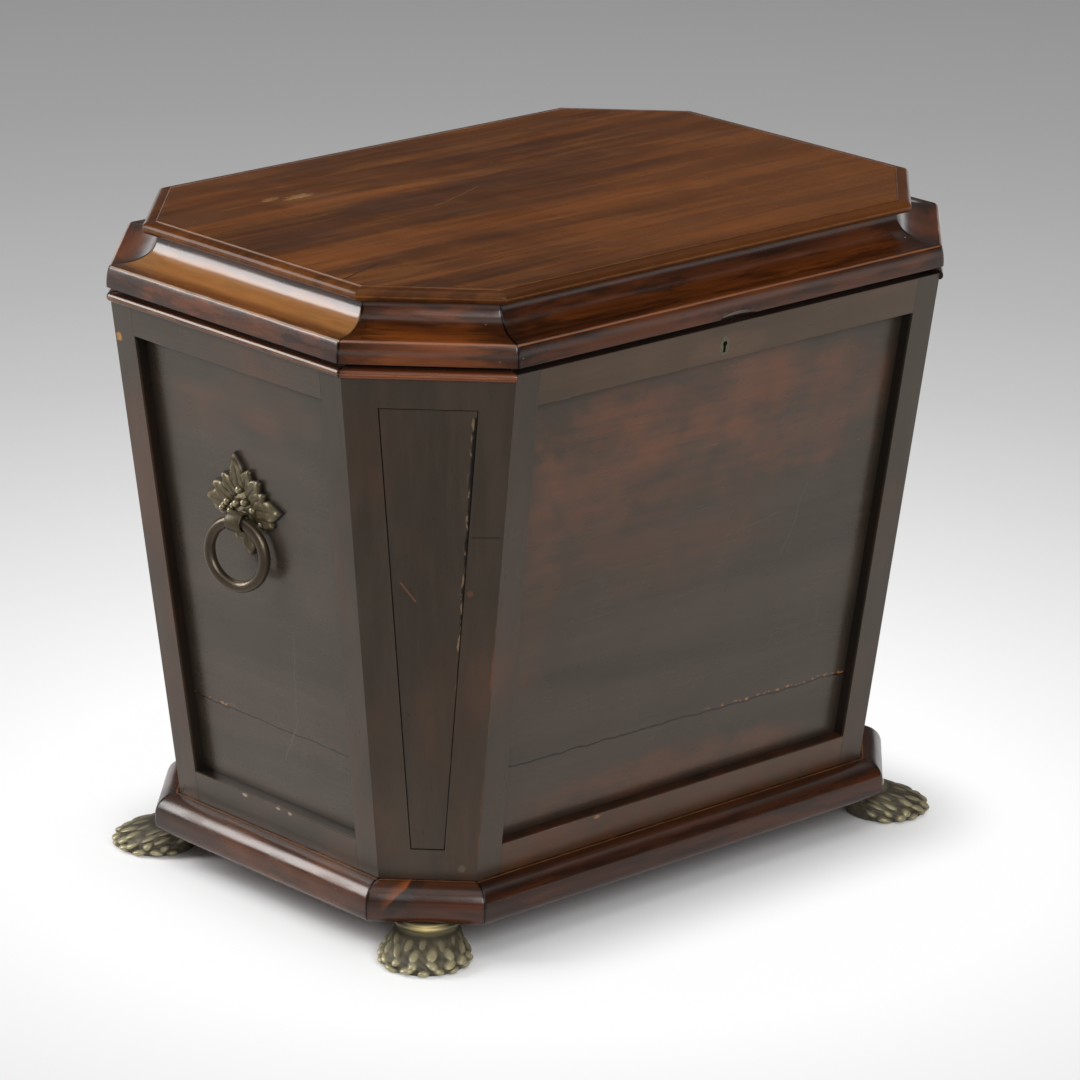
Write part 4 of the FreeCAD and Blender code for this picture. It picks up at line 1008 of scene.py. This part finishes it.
# %% [markdown]
# ## Finish of the lid's top
# The top has the warmest wood: a wavy figure across the board, darker streaks along it, a few
# scratches and one pale scar with a dark bruise beside it. A mark is a share between 0 and 1, of a
# line or of an ellipse whose edge a noise frays, and lays its tone over the wood with that share.

# %% Lid top finish
RUBBED = (172, 118, 70)
GRIME = (20, 12, 8)


def lid_marks(finish):
    """Marks of the top: figure, warm right half, scar and bruise, cracks, scratches and a rubbed edge."""
    x, y, z = finish.parts()
    wear, edge = finish.carried("wear"), finish.carried("edge")
    jitter = finish.clouds(0.02) - 0.5
    ripple = finish.clouds((0.018, 0.16, 0.16), 2.0, warp=0.8)
    finish.coat(ripple.rise(0.45, 0.75) * 0.16, (136, 78, 36))
    shade = finish.clouds((0.30, 0.045, 0.1), 2.0, 0.5, warp=2.0, shift=(3, 1, 4))
    finish.coat(shade.rise(0.42, 0.68) * 0.45, (56, 30, 12))
    vein = finish.clouds((0.16, 0.016, 0.1), 2.0, 0.5, warp=1.2, shift=(8, 2, 4))
    finish.coat(vein.rise(0.48, 0.76) * 0.26, (48, 24, 10))
    finish.coat(vein.fall(0.24, 0.50) * 0.26, (152, 98, 42))
    warm = (x * 0.8 - y * 0.9 + jitter * 0.1).rise(-0.05, 0.34)
    finish.coat(warm * 0.42, (136, 80, 38))
    ragged = (finish.clouds((0.007, 0.005, 0.007), 3.0, 0.7, shift=(7, 0, 0)) - 0.5) * 2.6
    on_top = z.rise(0.546, 0.549)
    scar = blot(x, y, (-0.157, 0.1125), (0.021, 0.006), ragged)
    scar = scar.most(blot(x, y, (-0.181, 0.119), (0.012, 0.005), ragged) * 0.7) * on_top
    scuff = finish.clouds((0.022, 0.0035, 0.01), 4.0, 0.7, shift=(2, 6, 1))
    finish.coat(scar * scuff.rise(0.34, 0.62) * 0.7, (186, 140, 90))
    bruise = (-0.196, 0.095), (0.020, 0.008), 0.55, (40, 24, 14)
    daub(finish, x, y, ragged, scuff.fall(0.42, 0.62) * on_top, bruise)
    crack = line_mark(x, y, (-0.2928, -0.1027), (-0.2439, -0.086), 0.0011, jitter * 0.006)
    fine = line_mark(x, y, (-0.06, -0.1715), (0.29, -0.150), 0.0006, jitter * 0.004)
    faint = line_mark(x, y, (-0.20, 0.03), (0.12, 0.045), 0.0005, jitter * 0.003)
    split = crack.most(fine * 0.7).most(faint * 0.25) * z.rise(0.54, 0.542)
    finish.coat(split, GRIME)
    for start, end, strength in [((-0.09, 0.02), (-0.02, 0.045), 0.25), ((0.05, -0.05), (0.13, -0.075), 0.3)]:
        scratch = line_mark(x, y, start, end, 0.0006, jitter * 0.006)
        finish.coat(scratch * strength, (176, 130, 90))
    fleck = finish.clouds((0.0035, 0.0022, 0.003), 1.0).rise(0.77, 0.83)
    finish.coat(fleck * 0.4, (180, 136, 92))
    finish.coat(edge * 0.45, (70, 37, 18))
    chip = finish.clouds(0.014, 4.0, 0.65)
    finish.coat((wear - 0.55 + chip * 0.6).rise(0.42, 0.78) * 0.35, (150, 104, 66))
    finish.height -= split * 12


LID_TOP = wood(
    "lid_top_polish", 0, ((72, 38, 14), (121, 67, 24), (150, 90, 34)), 1.0, 0.22,
    bands=0.4, pores=0.25, marks=lid_marks, shine=0.15,
)
print("nodes of the lid top's finish", len(LID_TOP.node_tree.nodes))

# %% [markdown]
# ## Finish of the lid's frame
# The moulded frame goes from orange to nearly black within one length, with old grime in the mitres,
# pale flecks beside them that are painted glints, and a broken line of bare wood along the upper arris.
# The left length is paler gold low in its hollow, bleached wood with painted light from the window, and
# sooty on its fascia. The mesh carries the way of the grain, the wear and the distance to the mitre,
# because a length that turns a corner has no axis of its own to stretch a noise along.

# %% Lid frame finish
def frame_marks(finish):
    """Marks of the lid's mouldings: warmth of each length, dark clouds, mitre grime with painted glints, painted light
    in the left hollow, a rubbed arris.
    """
    wear, warmth, from_end = (finish.carried(name) for name in ("wear", "warmth", "from_end"))
    grain = finish.carried("grain", "Vector")
    x, y, z = finish.parts()
    cloud = finish.noise(grain, (0.18, 0.016, 0.02), 3.0, 0.6)
    fine = finish.noise(grain, (0.03, 0.004, 0.01), 4.0, 0.65)
    finish.coat(((cloud - 0.5) * 1.6 + warmth).limited() * 0.8, (148, 78, 30))
    burn = finish.noise(grain, (0.07, 0.014, 0.02), 3.0, 0.6, shift=(5, 2, 1))
    finish.coat(burn.rise(0.48, 0.68) * 0.7, (30, 16, 9))
    fascia = z.fall(0.516, 0.5175) * warmth.rise(0.40, 0.48)
    blotch = finish.noise(grain, (0.05, 0.012, 0.02), 4.0, 0.65, shift=(9, 4, 2))
    finish.coat(fascia * 0.5, (44, 30, 22))
    finish.coat(fascia * blotch.rise(0.50, 0.60) * 0.45, (150, 76, 30))
    finish.coat(fascia * blotch.fall(0.38, 0.46) * 0.75, (24, 17, 13))
    grime = (from_end + (fine - 0.5) * 0.07 + (burn - 0.5) * 0.08).fall(0.004, 0.034)
    finish.coat(grime * 0.7, (26, 15, 9))
    finish.coat(from_end.fall(0.0005, 0.002) * 0.9, GRIME)
    pale = warmth.rise(0.42, 0.50)
    # Paler gold low in the left hollow: bleached wood and painted light from the window, whose highlight fades out
    # there; the top of the hollow is darker.
    gold_and_painted_light = z.rise(0.5175, 0.520) * z.fall(0.526, 0.533) * (0.45 + fine * 0.7).limited()
    finish.coat(pale * gold_and_painted_light * 0.75, (180, 126, 74))
    finish.coat(pale * z.rise(0.529, 0.536) * 0.6, (40, 30, 24))
    finish.coat(pale * z.fall(0.511, 0.517) * 0.4, (44, 26, 16))
    bare = finish.mix(pale, paint((158, 92, 44)), paint((196, 172, 148)))
    rub = (wear * 0.9 - 0.5 + fine).rise(0.42, 0.80)
    finish.colour = finish.mix(rub * 0.62, finish.colour, bare)
    # Painted glints: pale flecks close to the mitres.
    spot = finish.noise(grain, (0.004, 0.003, 0.004), 1.0, shift=(1, 9, 3)).rise(0.78, 0.82)
    finish.coat(spot * from_end.fall(0.005, 0.02) * 0.8, (214, 204, 190))
    scoop = (0.0, LID_FOOT * MM), (0.019, 0.0054), 0.55, (92, 82, 74)
    daub(finish, x, z, 0.0, y.fall(-0.1, -0.09), scoop)


LID_FRAME = wood(
    "lid_frame_polish", 0, ((46, 22, 10), (90, 45, 18), (126, 68, 28)), 2.0, 0.19,
    bands=0.7, pores=0.4, marks=frame_marks, carried="grain", shine=0.62, tint=(1.0, 1.0, 1.0, 1.0),
)
print("nodes of the lid frame's finish", len(LID_FRAME.node_tree.nodes))

# %% [markdown]
# ## Finish of the wall panels
# Below the lid the wood is nearly black with old wax, and the panels' grain runs level. Warmer wood
# shows where the wax has been rubbed off, and a shrinkage crack crosses each panel near its foot.
# The marks are worked out in the chest's own coordinates, as distances from lines and from the
# frame's opening, so each stays put from any side.

# %% Panel finishes
WAXED = ((54, 46, 38), (66, 56, 47), (78, 65, 54))
RED_WOOD = (116, 68, 44)
DUST = (112, 101, 88)
NICK = (168, 150, 128)


def panel_marks(axis, opening, crack, rubs, scratches, seed):
    """Marks of one panel: painted shade and grime along the frame, rubbed patches, a shrinkage crack and scratches."""
    def marks(finish):
        coordinates = finish.parts()
        aside, z = coordinates[axis], coordinates[2]
        jitter = finish.clouds(0.03, shift=(seed, 0, 0)) - 0.5
        fibre = finish.clouds(lengths(axis, 0.10, 0.006), 3.0, 0.6, shift=(0, seed, 0))
        mottle = finish.clouds(lengths(axis, 0.06, 0.03), 3.0, 0.6, shift=(4, 0, seed)).rise(0.30, 0.62)
        for centre, reach, strength in rubs:
            patch = blot(aside, z, centre, reach, jitter * 1.6) * (fibre.rise(0.25, 0.75) * 0.4 + mottle * 0.6)
            finish.coat(patch * strength, RED_WOOD)
        spots = finish.clouds((0.012, 0.012, 0.008), 2.0, shift=(seed, 1, 2)).rise(0.70, 0.78)
        finish.coat(spots * 0.25, (104, 58, 34))
        # Painted shade with some grime: the panel darkens within a centimetre of the frame's opening, where the frame
        # shades it.
        at_side, at_foot, at_head = recess_gaps(aside, z, opening)
        edge = at_side.least(at_foot).least(at_head).fall(0.0005, 0.010)
        finish.coat(edge * 0.6, (18, 13, 10))
        start, end, width = crack
        split = line_mark(aside, z, start, end, width, jitter * 0.008)
        finish.coat(split, (9, 6, 5))
        bare = finish.clouds((0.006, 0.006, 0.004), 2.0, shift=(3, seed, 3)).rise(0.52, 0.62)
        lip = line_mark(aside, z - 0.0017, start, end, 0.0016, jitter * 0.008) * bare
        finish.coat(lip * aside.rise(0.02, 0.06) * 0.8, (166, 112, 56))
        for start, end, strength in scratches:
            scratch = line_mark(aside, z, start, end, 0.0007, jitter * 0.010)
            finish.coat(scratch * strength, DUST)
        finish.rough += edge * 0.15
        finish.height -= split * 12
    return marks


FRONT_RUBS = [                 # middle, reach, strength
    ((-0.02, 0.430), (0.21, 0.055), 0.55), ((-0.10, 0.395), (0.12, 0.06), 0.40), ((0.10, 0.40), (0.12, 0.07), 0.45),
    ((-0.05, 0.34), (0.18, 0.09), 0.25), ((-0.180, 0.32), (0.03, 0.13), 0.30), ((-0.02, 0.100), (0.21, 0.026), 0.45),
]
PANELS = {                     # crack (start, end, width), rubs, scratches
    "front_panel": (
        ((-0.192, 0.1487), (0.196, 0.1421), 0.0011), FRONT_RUBS,
        [((0.03, 0.30), (0.09, 0.31), 0.2), ((0.12, 0.33), (0.10, 0.27), 0.2)],
    ),
    "back_panel": (
        ((-0.195, 0.199), (0.193, 0.206), 0.0009),
        [((0.05, 0.40), (0.15, 0.04), 0.6), ((-0.11, 0.30), (0.06, 0.05), 0.4)],
        [((-0.12, 0.36), (-0.04, 0.34), 0.35), ((0.02, 0.15), (0.10, 0.17), 0.3)],
    ),
    "left_panel": (
        ((-0.104, 0.1532), (0.104, 0.1537), 0.0009),
        [((-0.03, 0.435), (0.07, 0.03), 0.30), ((0.05, 0.42), (0.05, 0.03), 0.2)],
        [((-0.035, 0.2388), (-0.0292, 0.1849), 0.18), ((-0.0292, 0.1849), (-0.029, 0.1673), 0.25),
         ((-0.029, 0.1673), (-0.015, 0.1412), 0.3), ((-0.015, 0.1412), (-0.0088, 0.1252), 0.3)],
    ),
    "right_panel": (
        ((-0.104, 0.183), (0.104, 0.179), 0.0009),
        [((0.02, 0.43), (0.06, 0.02), 0.5), ((-0.04, 0.20), (0.04, 0.05), 0.3)],
        [((0.03, 0.26), (0.06, 0.22), 0.35)],
    ),
}
for k, (node, rows) in enumerate(PANELS.items()):
    axis, opening = (0, FRONT_OPENING) if k < 2 else (1, END_OPENING)
    marks = panel_marks(axis, opening, *rows, 1.0 + k)
    finish = wood(node + "_wax", axis, WAXED, 3.0 + k, 0.27, bands=0.4, pores=0.5, marks=marks, shine=0.75)
    dress(NODES[node], finish)
print("panels", ", ".join(PANELS))

# %% [markdown]
# ## Finish of rails and stiles
# The frame is planted on the panels, and the sides of its openings are painted near-black, as the
# shade that falls in them. They are found by their depth: a point well under the chest's leaning outer
# skin lies in an opening. Rubbed arrises get a finish of their own, which the bevel of each board takes.

# %% Rail and stile finishes
def skin_depth(finish):
    """How deep a point lies under the nearest of the chest's leaning outer faces, in metres."""
    x, y, z = finish.parts()
    x, y, up = abs(x), abs(y), z - WALL_FOOT
    end, front = up * WALL_LEAN + (PLINTH[LEFT] - x), up * WALL_LEAN + (PLINTH[FRONT] - y)
    corner = up * CORNER_LEAN + (PLINTH[FRONT_LEFT] - (x + y) * HALF_ROOT)
    return end.least(front).least(corner)


def board_marks(finish):
    """Marks that all boards of the frame share: reveals painted near-black as shade, faint warm patches and small
    dents.
    """
    patch = finish.clouds((0.09, 0.09, 0.14), 3.0, 0.6, shift=(1, 5, 2))
    finish.coat(patch.rise(0.45, 0.75) * 0.22, RED_WOOD)
    dent = finish.clouds((0.006, 0.006, 0.009), 1.0, shift=(2, 2, 7)).rise(0.78, 0.82)
    finish.coat(dent * 0.4, (15, 10, 8))
    # Painted shade: the sides of the openings, found by their depth under the outer skin, are laid near-black.
    finish.coat(skin_depth(finish).rise(0.0008, 0.003) * 0.85, (10, 7, 5))
    finish.height -= dent * 3


def arris_marks(finish):
    """A rubbed edge: bare here and there, waxed in between."""
    bare = finish.clouds(0.03, 4.0, 0.7).rise(0.50, 0.72)
    finish.coat(bare * 0.55, (128, 110, 92))


def end_marks(finish):
    """End rails and stiles: pale nicks on the bottom rail and one ochre patch at a stile's top."""
    board_marks(finish)
    x, y, z = finish.parts()
    jitter = finish.clouds(0.005) - 0.5
    here = x.fall(-0.26, -0.25)
    daub(
        finish, y, z, jitter, here,
        ((0.0375, 0.084), (0.004, 0.002), 0.8, NICK), ((-0.0045, 0.0845), (0.003, 0.002), 0.8, NICK),
        ((-0.0194, 0.084), (0.003, 0.002), 0.8, NICK),
    )
    daub(finish, y, z, jitter * 2, here, ((0.136, 0.4595), (0.0045, 0.0045), 0.85, (172, 122, 52)))


def rail_marks(finish):
    """Front rails: a pinkish rub round the keyhole, a dark seat under the lid and a red bottom rail."""
    board_marks(finish)
    x, z = finish.parts()[::2]
    jitter = finish.clouds((0.02, 0.02, 0.012)) - 0.5
    daub(finish, x, z, jitter * 1.6, 1.0, ((-0.005, 0.474), (0.05, 0.014), 0.2, (122, 82, 62)))
    finish.coat(z.rise(0.4925, 0.4945) * 0.8, (46, 20, 12))
    red = z.fall(0.083, 0.092) * (jitter + 0.6).rise(0.35, 0.9)
    finish.coat(red * 0.45, (104, 50, 30))
    nick = blot(x, z, (-0.0896, 0.0838), (0.004, 0.002), jitter)
    finish.coat(nick * 0.7, RUBBED)
    finish.height -= nick * 4


UPRIGHT = wood("stile_wax", 2, WAXED, 8.0, 0.30, 0.45, 0.5, marks=board_marks, shine=0.75)
END_UPRIGHT = wood("end_stile_wax", 2, WAXED, 8.5, 0.30, 0.45, 0.5, marks=end_marks, shine=0.64)
RAIL_TONES = ((62, 47, 34), (77, 59, 43), (90, 71, 53))
FRONT_RAIL = wood("front_rail_wax", 0, RAIL_TONES, 11.0, 0.30, 0.45, 0.5, marks=rail_marks, shine=0.75)
BACK_RAIL = wood("back_rail_wax", 0, WAXED, 12.0, 0.30, 0.45, 0.5, marks=board_marks, shine=0.75)
END_RAIL = wood("end_rail_wax", 1, WAXED, 13.0, 0.30, 0.45, 0.5, marks=end_marks, shine=0.64)
ARRIS_TONES = ((58, 47, 38), (74, 60, 49), (94, 78, 64))
ARRIS_UPRIGHT = wood("arris_upright", 2, ARRIS_TONES, 14.0, 0.38, 0.6, 0.5, marks=arris_marks)
ARRIS_LEVEL = wood("arris_level", 0, ARRIS_TONES, 15.0, 0.38, 0.6, 0.5, marks=arris_marks)
print("nodes of the front rail's finish", len(FRONT_RAIL.node_tree.nodes))

# %% [markdown]
# ## Finish of the canted corners
# The grain of the corner boards runs upright, and the front left one tells most: a repair joint, a
# plug, a chip at its foot and a long crack down the right edge of its panel. One coordinate along
# the canted face and the height place them, and a share that is 1 at that corner only keeps them there.

# %% Corner finishes
def corner_line(finish):
    """Coordinate along the canted corner, height, and 1 at the front left corner only."""
    x, y, z = finish.parts()
    return (x - y) * HALF_ROOT, z, x.fall(-0.19, -0.185) * y.fall(-0.15, -0.14)


def corner_marks(finish):
    """Corner boards: rubbed front edge low down, and a level repair joint, a plug and a chip."""
    board_marks(finish)
    along, z, here = corner_line(finish)
    jitter = finish.clouds((0.006, 0.006, 0.012)) - 0.5
    front_edge = (z - 0.120) * 0.0664 - 0.0222
    broken = finish.clouds((0.02, 0.02, 0.03), 3.0, 0.6).rise(0.40, 0.62)
    rub = (front_edge - along + jitter * 0.003).fall(0.0004, 0.0022) * z.fall(0.26, 0.32) * z.rise(0.06, 0.12) * broken
    finish.coat(rub * here * 0.6, (124, 68, 42))
    daub(finish, along, z, jitter * 2, here, ((-0.030, 0.09), (0.03, 0.07), 0.10, RED_WOOD))
    joint = line_mark(along, z, (-0.0310, 0.3578), (-0.0094, 0.3585), 0.0008) * here
    finish.coat(joint * 0.7, GRIME)
    plug = (-0.0323, 0.3103), (0.0032, 0.0034), 0.4, (118, 66, 44)
    chip = (-0.038, 0.070), (0.004, 0.004), 0.4, (112, 98, 82)
    daub(finish, along, z, jitter, here, plug, chip)
    finish.height -= joint * 4


def inlay_marks(finish):
    """Corner panels: a long crack with pale flecks down the right edge of the front left one."""
    board_marks(finish)
    along, z, here = corner_line(finish)
    jitter = finish.clouds((0.012, 0.012, 0.018)) - 0.5
    foot, head = (-0.0480, 0.0867), (-0.0285, 0.4565)
    crack = line_mark(along, z, head, foot, 0.0028, jitter * 0.005) * here
    finish.coat(crack, (8, 6, 5))
    broken = finish.clouds((0.004, 0.004, 0.012), 3.0, 0.6).rise(0.50, 0.58)
    fleck = broken * line_mark(along + 0.0022, z, head, foot, 0.0014, jitter * 0.005)
    finish.coat(fleck * here * 0.55, (150, 122, 86))
    scratch = line_mark(along, z, (-0.0865, 0.318), (-0.0745, 0.302), 0.0009) * here
    finish.coat(scratch * 0.4, (140, 92, 64))
    finish.height -= crack * 12


CORNER = wood("corner_wax", 2, WAXED, 9.0, 0.34, 0.45, 0.5, marks=corner_marks)
INLAY = wood("inlay_wax", 2, WAXED, 10.0, 0.34, 0.45, 0.5, marks=inlay_marks)
print("nodes of the corner board's finish", len(CORNER.node_tree.nodes))

# %% [markdown]
# ## Finish of base, bead and inside
# The base moulding is darker than the lid's, with one repaired corner in fresher wood. Its left length
# is darker still, with rusty patches, and duller and darker towards its back end, where the darkening
# is painted shade for a highlight that fades out. The bead is cut from the same wood. Inside, the
# dividers and the pine bottom were never polished and have no marks.

# %% Base, bead and inside finishes
def base_marks(finish):
    """Base moulding: darker than the lid, grimy at the mitres, with one repaired corner."""
    wear, warmth, from_end = (finish.carried(name) for name in ("wear", "warmth", "from_end"))
    grain = finish.carried("grain", "Vector")
    cloud = finish.noise(grain, (0.13, 0.011, 0.02), 3.0, 0.6)
    knock = finish.noise(grain, (0.02, 0.004, 0.01), 4.0, 0.65)
    finish.coat(((cloud - 0.5) * 1.4 + warmth * 0.7).limited() * 0.7, (116, 56, 24))
    burn = finish.noise(grain, (0.09, 0.012, 0.02), 3.0, 0.6, shift=(2, 7, 1))
    finish.coat(burn.rise(0.47, 0.66) * 0.7, (26, 15, 9))
    along, z, here = corner_line(finish)
    jitter = finish.clouds(0.008) - 0.5
    past = along + 0.1123 - (z - 0.029) * 1.05 + jitter * 0.006
    on_corner = along.rise(-0.1122, -0.1118) * here * z.fall(0.062, 0.066)
    finish.coat(past.fall(0.0, 0.003) * on_corner * 0.8, (156, 82, 34))
    seam = past.rise(0.0, 0.003) * past.fall(0.010, 0.017) * on_corner
    finish.coat(seam * 0.8, (36, 24, 18))
    finish.coat(from_end.fall(0.0005, 0.0025) * 0.85, GRIME)
    rub = (wear - 0.65 + knock).rise(0.45, 0.85)
    x, y, z = finish.parts()
    dull_shaded_end = x.fall(-0.27, -0.26) * y.rise(-0.06, 0.10) * z.fall(0.08, 0.1)
    red = here * z.rise(0.48, 0.485)
    finish.coat(red * 0.5, (136, 68, 36))
    patch = finish.noise(grain, (0.045, 0.010, 0.02), 3.0, 0.6, shift=(4, 1, 6))
    left = x.fall(-0.27, -0.26) * z.fall(0.08, 0.1)
    # The left length is darker; towards its back end the extra darkening is painted shade, where the highlight fades
    # out.
    finish.coat(left * (0.35 + dull_shaded_end * 0.3), (34, 28, 25))
    worn = finish.noise(grain, (0.085, 0.022, 0.04), 2.0, 0.5, shift=(4, 1, 6))
    rust = left * worn.rise(0.40, 0.68) * (abs(y + 0.01)).fall(0.05, 0.15)
    finish.coat(rust * 0.36, (124, 76, 44))
    finish.rough += (patch.fall(0.36, 0.48) * 0.10 + dull_shaded_end * 0.06) * left
    finish.coat(rub * 0.4, RUBBED)


BASE = wood(
    "base_polish", 0, ((38, 19, 10), (66, 33, 15), (92, 48, 22)), 16.0, 0.20,
    bands=0.6, pores=0.4, marks=base_marks, carried="grain", shine=0.6, tint=(1.0, 0.96, 0.93, 1.0),
)
BEAD = wood(
    "bead_polish", 0, ((36, 22, 15), (56, 35, 23), (82, 52, 34)), 17.0, 0.24,
    bands=0.5, pores=0.5, marks=base_marks, carried="grain", shine=0.7,
)
SAWN = ((70, 40, 26), (104, 62, 38), (132, 84, 52))
DIVIDER = wood("divider_polish", 0, SAWN, 18.0, 0.5)
CROSS_DIVIDER = wood("cross_divider_polish", 1, SAWN, 19.0, 0.5)
PINE = wood("pine_bottom", 0, ((120, 92, 60), (158, 124, 82), (184, 150, 104)), 20.0, 0.7)
print("finishes so far", len([made for made in bpy.data.materials if made.use_nodes]))

# %% [markdown]
# ## Metals
# The paws and plates are cast brass that has gone olive brown. High places are rubbed pale, pits hold
# nearly black wax, so both colour and roughness follow the relief that the meshes carry. Turned and
# plain brass is smoother, iron is dark and spotted, and the old sheet lining is dull and streaked.

# %% Metal finishes
def metal(name, tones, rough, relief=False, spot=0.02, metallic=1.0, polish=None):
    """tones are pit, body and rubbed colour; relief, where carried, moves between them."""
    finish = Finish(name)
    cloud = finish.clouds(spot, 4.0, 0.6)
    grit = finish.clouds(0.0012, 3.0, 0.6)
    pit, body, rubbed = tones
    level = finish.carried("relief") if relief else cloud
    finish.colour = finish.mix((level * 0.75 + cloud * 0.35).rise(0.12, 0.55), paint(pit), paint(body))
    finish.coat((level * 0.7 + grit * 0.4).rise(0.60, 1.0) * 0.8, rubbed)
    roughness = (1 - level) * 0.18 + (cloud - 0.5) * 0.25 + rough
    solid = (level + 0.25 + cloud * 0.4).rise(0.2, 0.9) * metallic
    if polish:
        # Painted highlight: pale gold where the mesh carries the collar's glint, smoother and less metallic there.
        bright = finish.carried("polish")
        finish.coat(bright * 0.8, polish)
        roughness = roughness - bright * 0.14
        solid = solid.least(1 - bright * 0.85)
    normal = finish.bump(cloud, 0.4 * MM, finish.bump(grit, 0.06 * MM))
    return finish.close(finish.principled({
        "Base Color": finish.colour, "Roughness": roughness, "Metallic": solid, "Normal": normal,
    }))


CAST = metal(
    "paw_brass", ((58, 52, 40), (122, 114, 90), (172, 162, 126)), 0.40,
    relief=True, metallic=0.35, polish=(240, 216, 146),
)
# The plate's pit and rubbed tones follow its relief: wax and painted shade low, rubbed brass and painted glints high.
PLATE = metal("plate_brass", ((26, 22, 16), (104, 92, 68), (214, 202, 168)), 0.28, relief=True, metallic=0.65)
WIRE_BRASS = metal("ring_bronze", ((62, 54, 45), (92, 81, 68), (158, 144, 126)), 0.24, metallic=0.8)
PLAIN_BRASS = metal("plain_brass_polish", ((90, 76, 48), (146, 122, 76), (190, 164, 108)), 0.34)
DULL_BRASS = metal("keyhole_brass", ((66, 64, 52), (126, 122, 102), (206, 202, 182)), 0.36, spot=0.004)
IRON = metal("lock_iron", ((40, 34, 30), (80, 74, 70), (120, 116, 112)), 0.48)
LEAD = metal("lining_lead", ((80, 80, 80), (116, 117, 118), (150, 151, 152)), 0.58, spot=0.05)

PLAIN = {                      # start of a CAD node's name, finish
    "case_bottom": PINE, "liner": LEAD, "handle_nuts": PLAIN_BRASS, "hinge": PLAIN_BRASS,
    "lock_link_plate": PLAIN_BRASS, "keyhole": DULL_BRASS, "lock_case": IRON, "lock_bolt": IRON,
    "foot_screws": IRON, "case_screws": IRON, "lid_screws": IRON,
}
plain = [(node, finish) for node in NODES for stem, finish in PLAIN.items() if node.startswith(stem)]
for node, finish in plain:
    dress(NODES[node], finish)
print("CAD nodes with a plain finish", len(plain))

# %% [markdown]
# ## Building the lid
# Eight lengths of moulding go round, and the board lies on them. The front length has the shallow
# scoop for a fingertip in the middle of its lower edge.

# %% Lid pieces
MOULDINGS = {                  # outline, plan, rubbed arrises, seed, finish
    "lid": (LID_SECTION, LID, [(-0.8, 517.5)], 3, LID_FRAME),
    "base": (BASE_SECTION, PLINTH, [(20.3, 38), (3, 60), (17, 50)], 4, BASE),
    "bead": (BEAD_SECTION, RIM, [(3.7, 491.75)], 4, BEAD),
}
WARMTH = [0.05, 0.25, 0.3, 0.2, 0.15, 0.3, 0.5, 0.42]     # of each side's lengths, from FRONT to FRONT_LEFT
SCOOP = (18.5, 5.0, 4.5)       # half length, height and depth in millimetres


def planed(name, kind, sides, body, scoop=None):
    """One piece of the lengths of a moulding on these sides, each with its own unevenness."""
    outline, distances, arrises, seed, finish = MOULDINGS[kind]
    shells = [
        moulding(distances, side, outline, arrises, WARMTH[side], 1.3 * side + seed, scoop) for side in sides
    ]
    piece(name + "_planed", shells, body, finish, [name])


for side in WIDE_SIDES:
    planed("lid_moulding_" + SIDE_NAMES[side], "lid", [side], "lid", SCOOP if side == FRONT else None)
planed("lid_moulding_corners", "lid", CORNER_SIDES, "lid")
top = piece("lid_top_planed", [lid_top()], "lid", LID_TOP, ["lid_top"], sharp=50)
print("lid top points", len(top.data.vertices))

# %% [markdown]
# ## Building the case
# The base goes round on the same plan idea as the lid. The bead leaves out the front, where the top
# rail rises to the lid instead.

# %% Case pieces
for side in WIDE_SIDES:
    planed("base_moulding_" + SIDE_NAMES[side], "base", [side], "case")
    if side != FRONT:
        planed("rim_bead_" + SIDE_NAMES[side], "bead", [side], "case")
planed("base_moulding_corners", "base", CORNER_SIDES, "case")
planed("rim_bead_corners", "bead", CORNER_SIDES, "case")

for side in WIDE_SIDES:
    rail = {FRONT: FRONT_RAIL, BACK: BACK_RAIL}.get(side, END_RAIL)
    stile, recess = (END_UPRIGHT, (1, END_OPENING)) if side in (LEFT, RIGHT) else (UPRIGHT, (0, FRONT_OPENING))
    name = SIDE_NAMES[side]
    softened(name + "_rails", "case", rail, ARRIS_LEVEL, recess=recess)
    softened(name + "_stiles", "case", stile, ARRIS_UPRIGHT, recess=recess)
for side in CORNER_SIDES:
    softened("corner_board_" + SIDE_NAMES[side], "case", CORNER, CORNER, 0.15)
softened("corner_inlays", "case", INLAY, INLAY, 0.12)
softened("long_dividers", "case", DIVIDER, DIVIDER, 0.8)
softened("cross_dividers", "case", CROSS_DIVIDER, CROSS_DIVIDER, 0.8)

# %% [markdown]
# ## Building the brass
# Four paws differ a little in the run of their hair, as castings from worked-over patterns do. The
# plate stands for the plain CAD leaf and the eye bolt together, and each ring rides on its own body.

# %% Brass pieces
for k, side in enumerate(CORNER_SIDES):
    name = "paw_foot_" + SIDE_NAMES[side]
    made = piece(name + "_cast", [paw(side, 1.0 + k)], "case", CAST, [name], sharp=60)
for side in (LEFT, RIGHT):
    end = SIDE_NAMES[side]
    piece(
        "handle_palmette_" + end, handle_shells(side), "case", PLATE,
        ["handle_plate_" + end, "handle_post_" + end], sharp=50,
    )
    piece("handle_wire_" + end, [ring_shell(side)], end + "_ring", WIRE_BRASS, ["handle_ring_" + end])
print("paw points", len(made.data.vertices))

# %% [markdown]
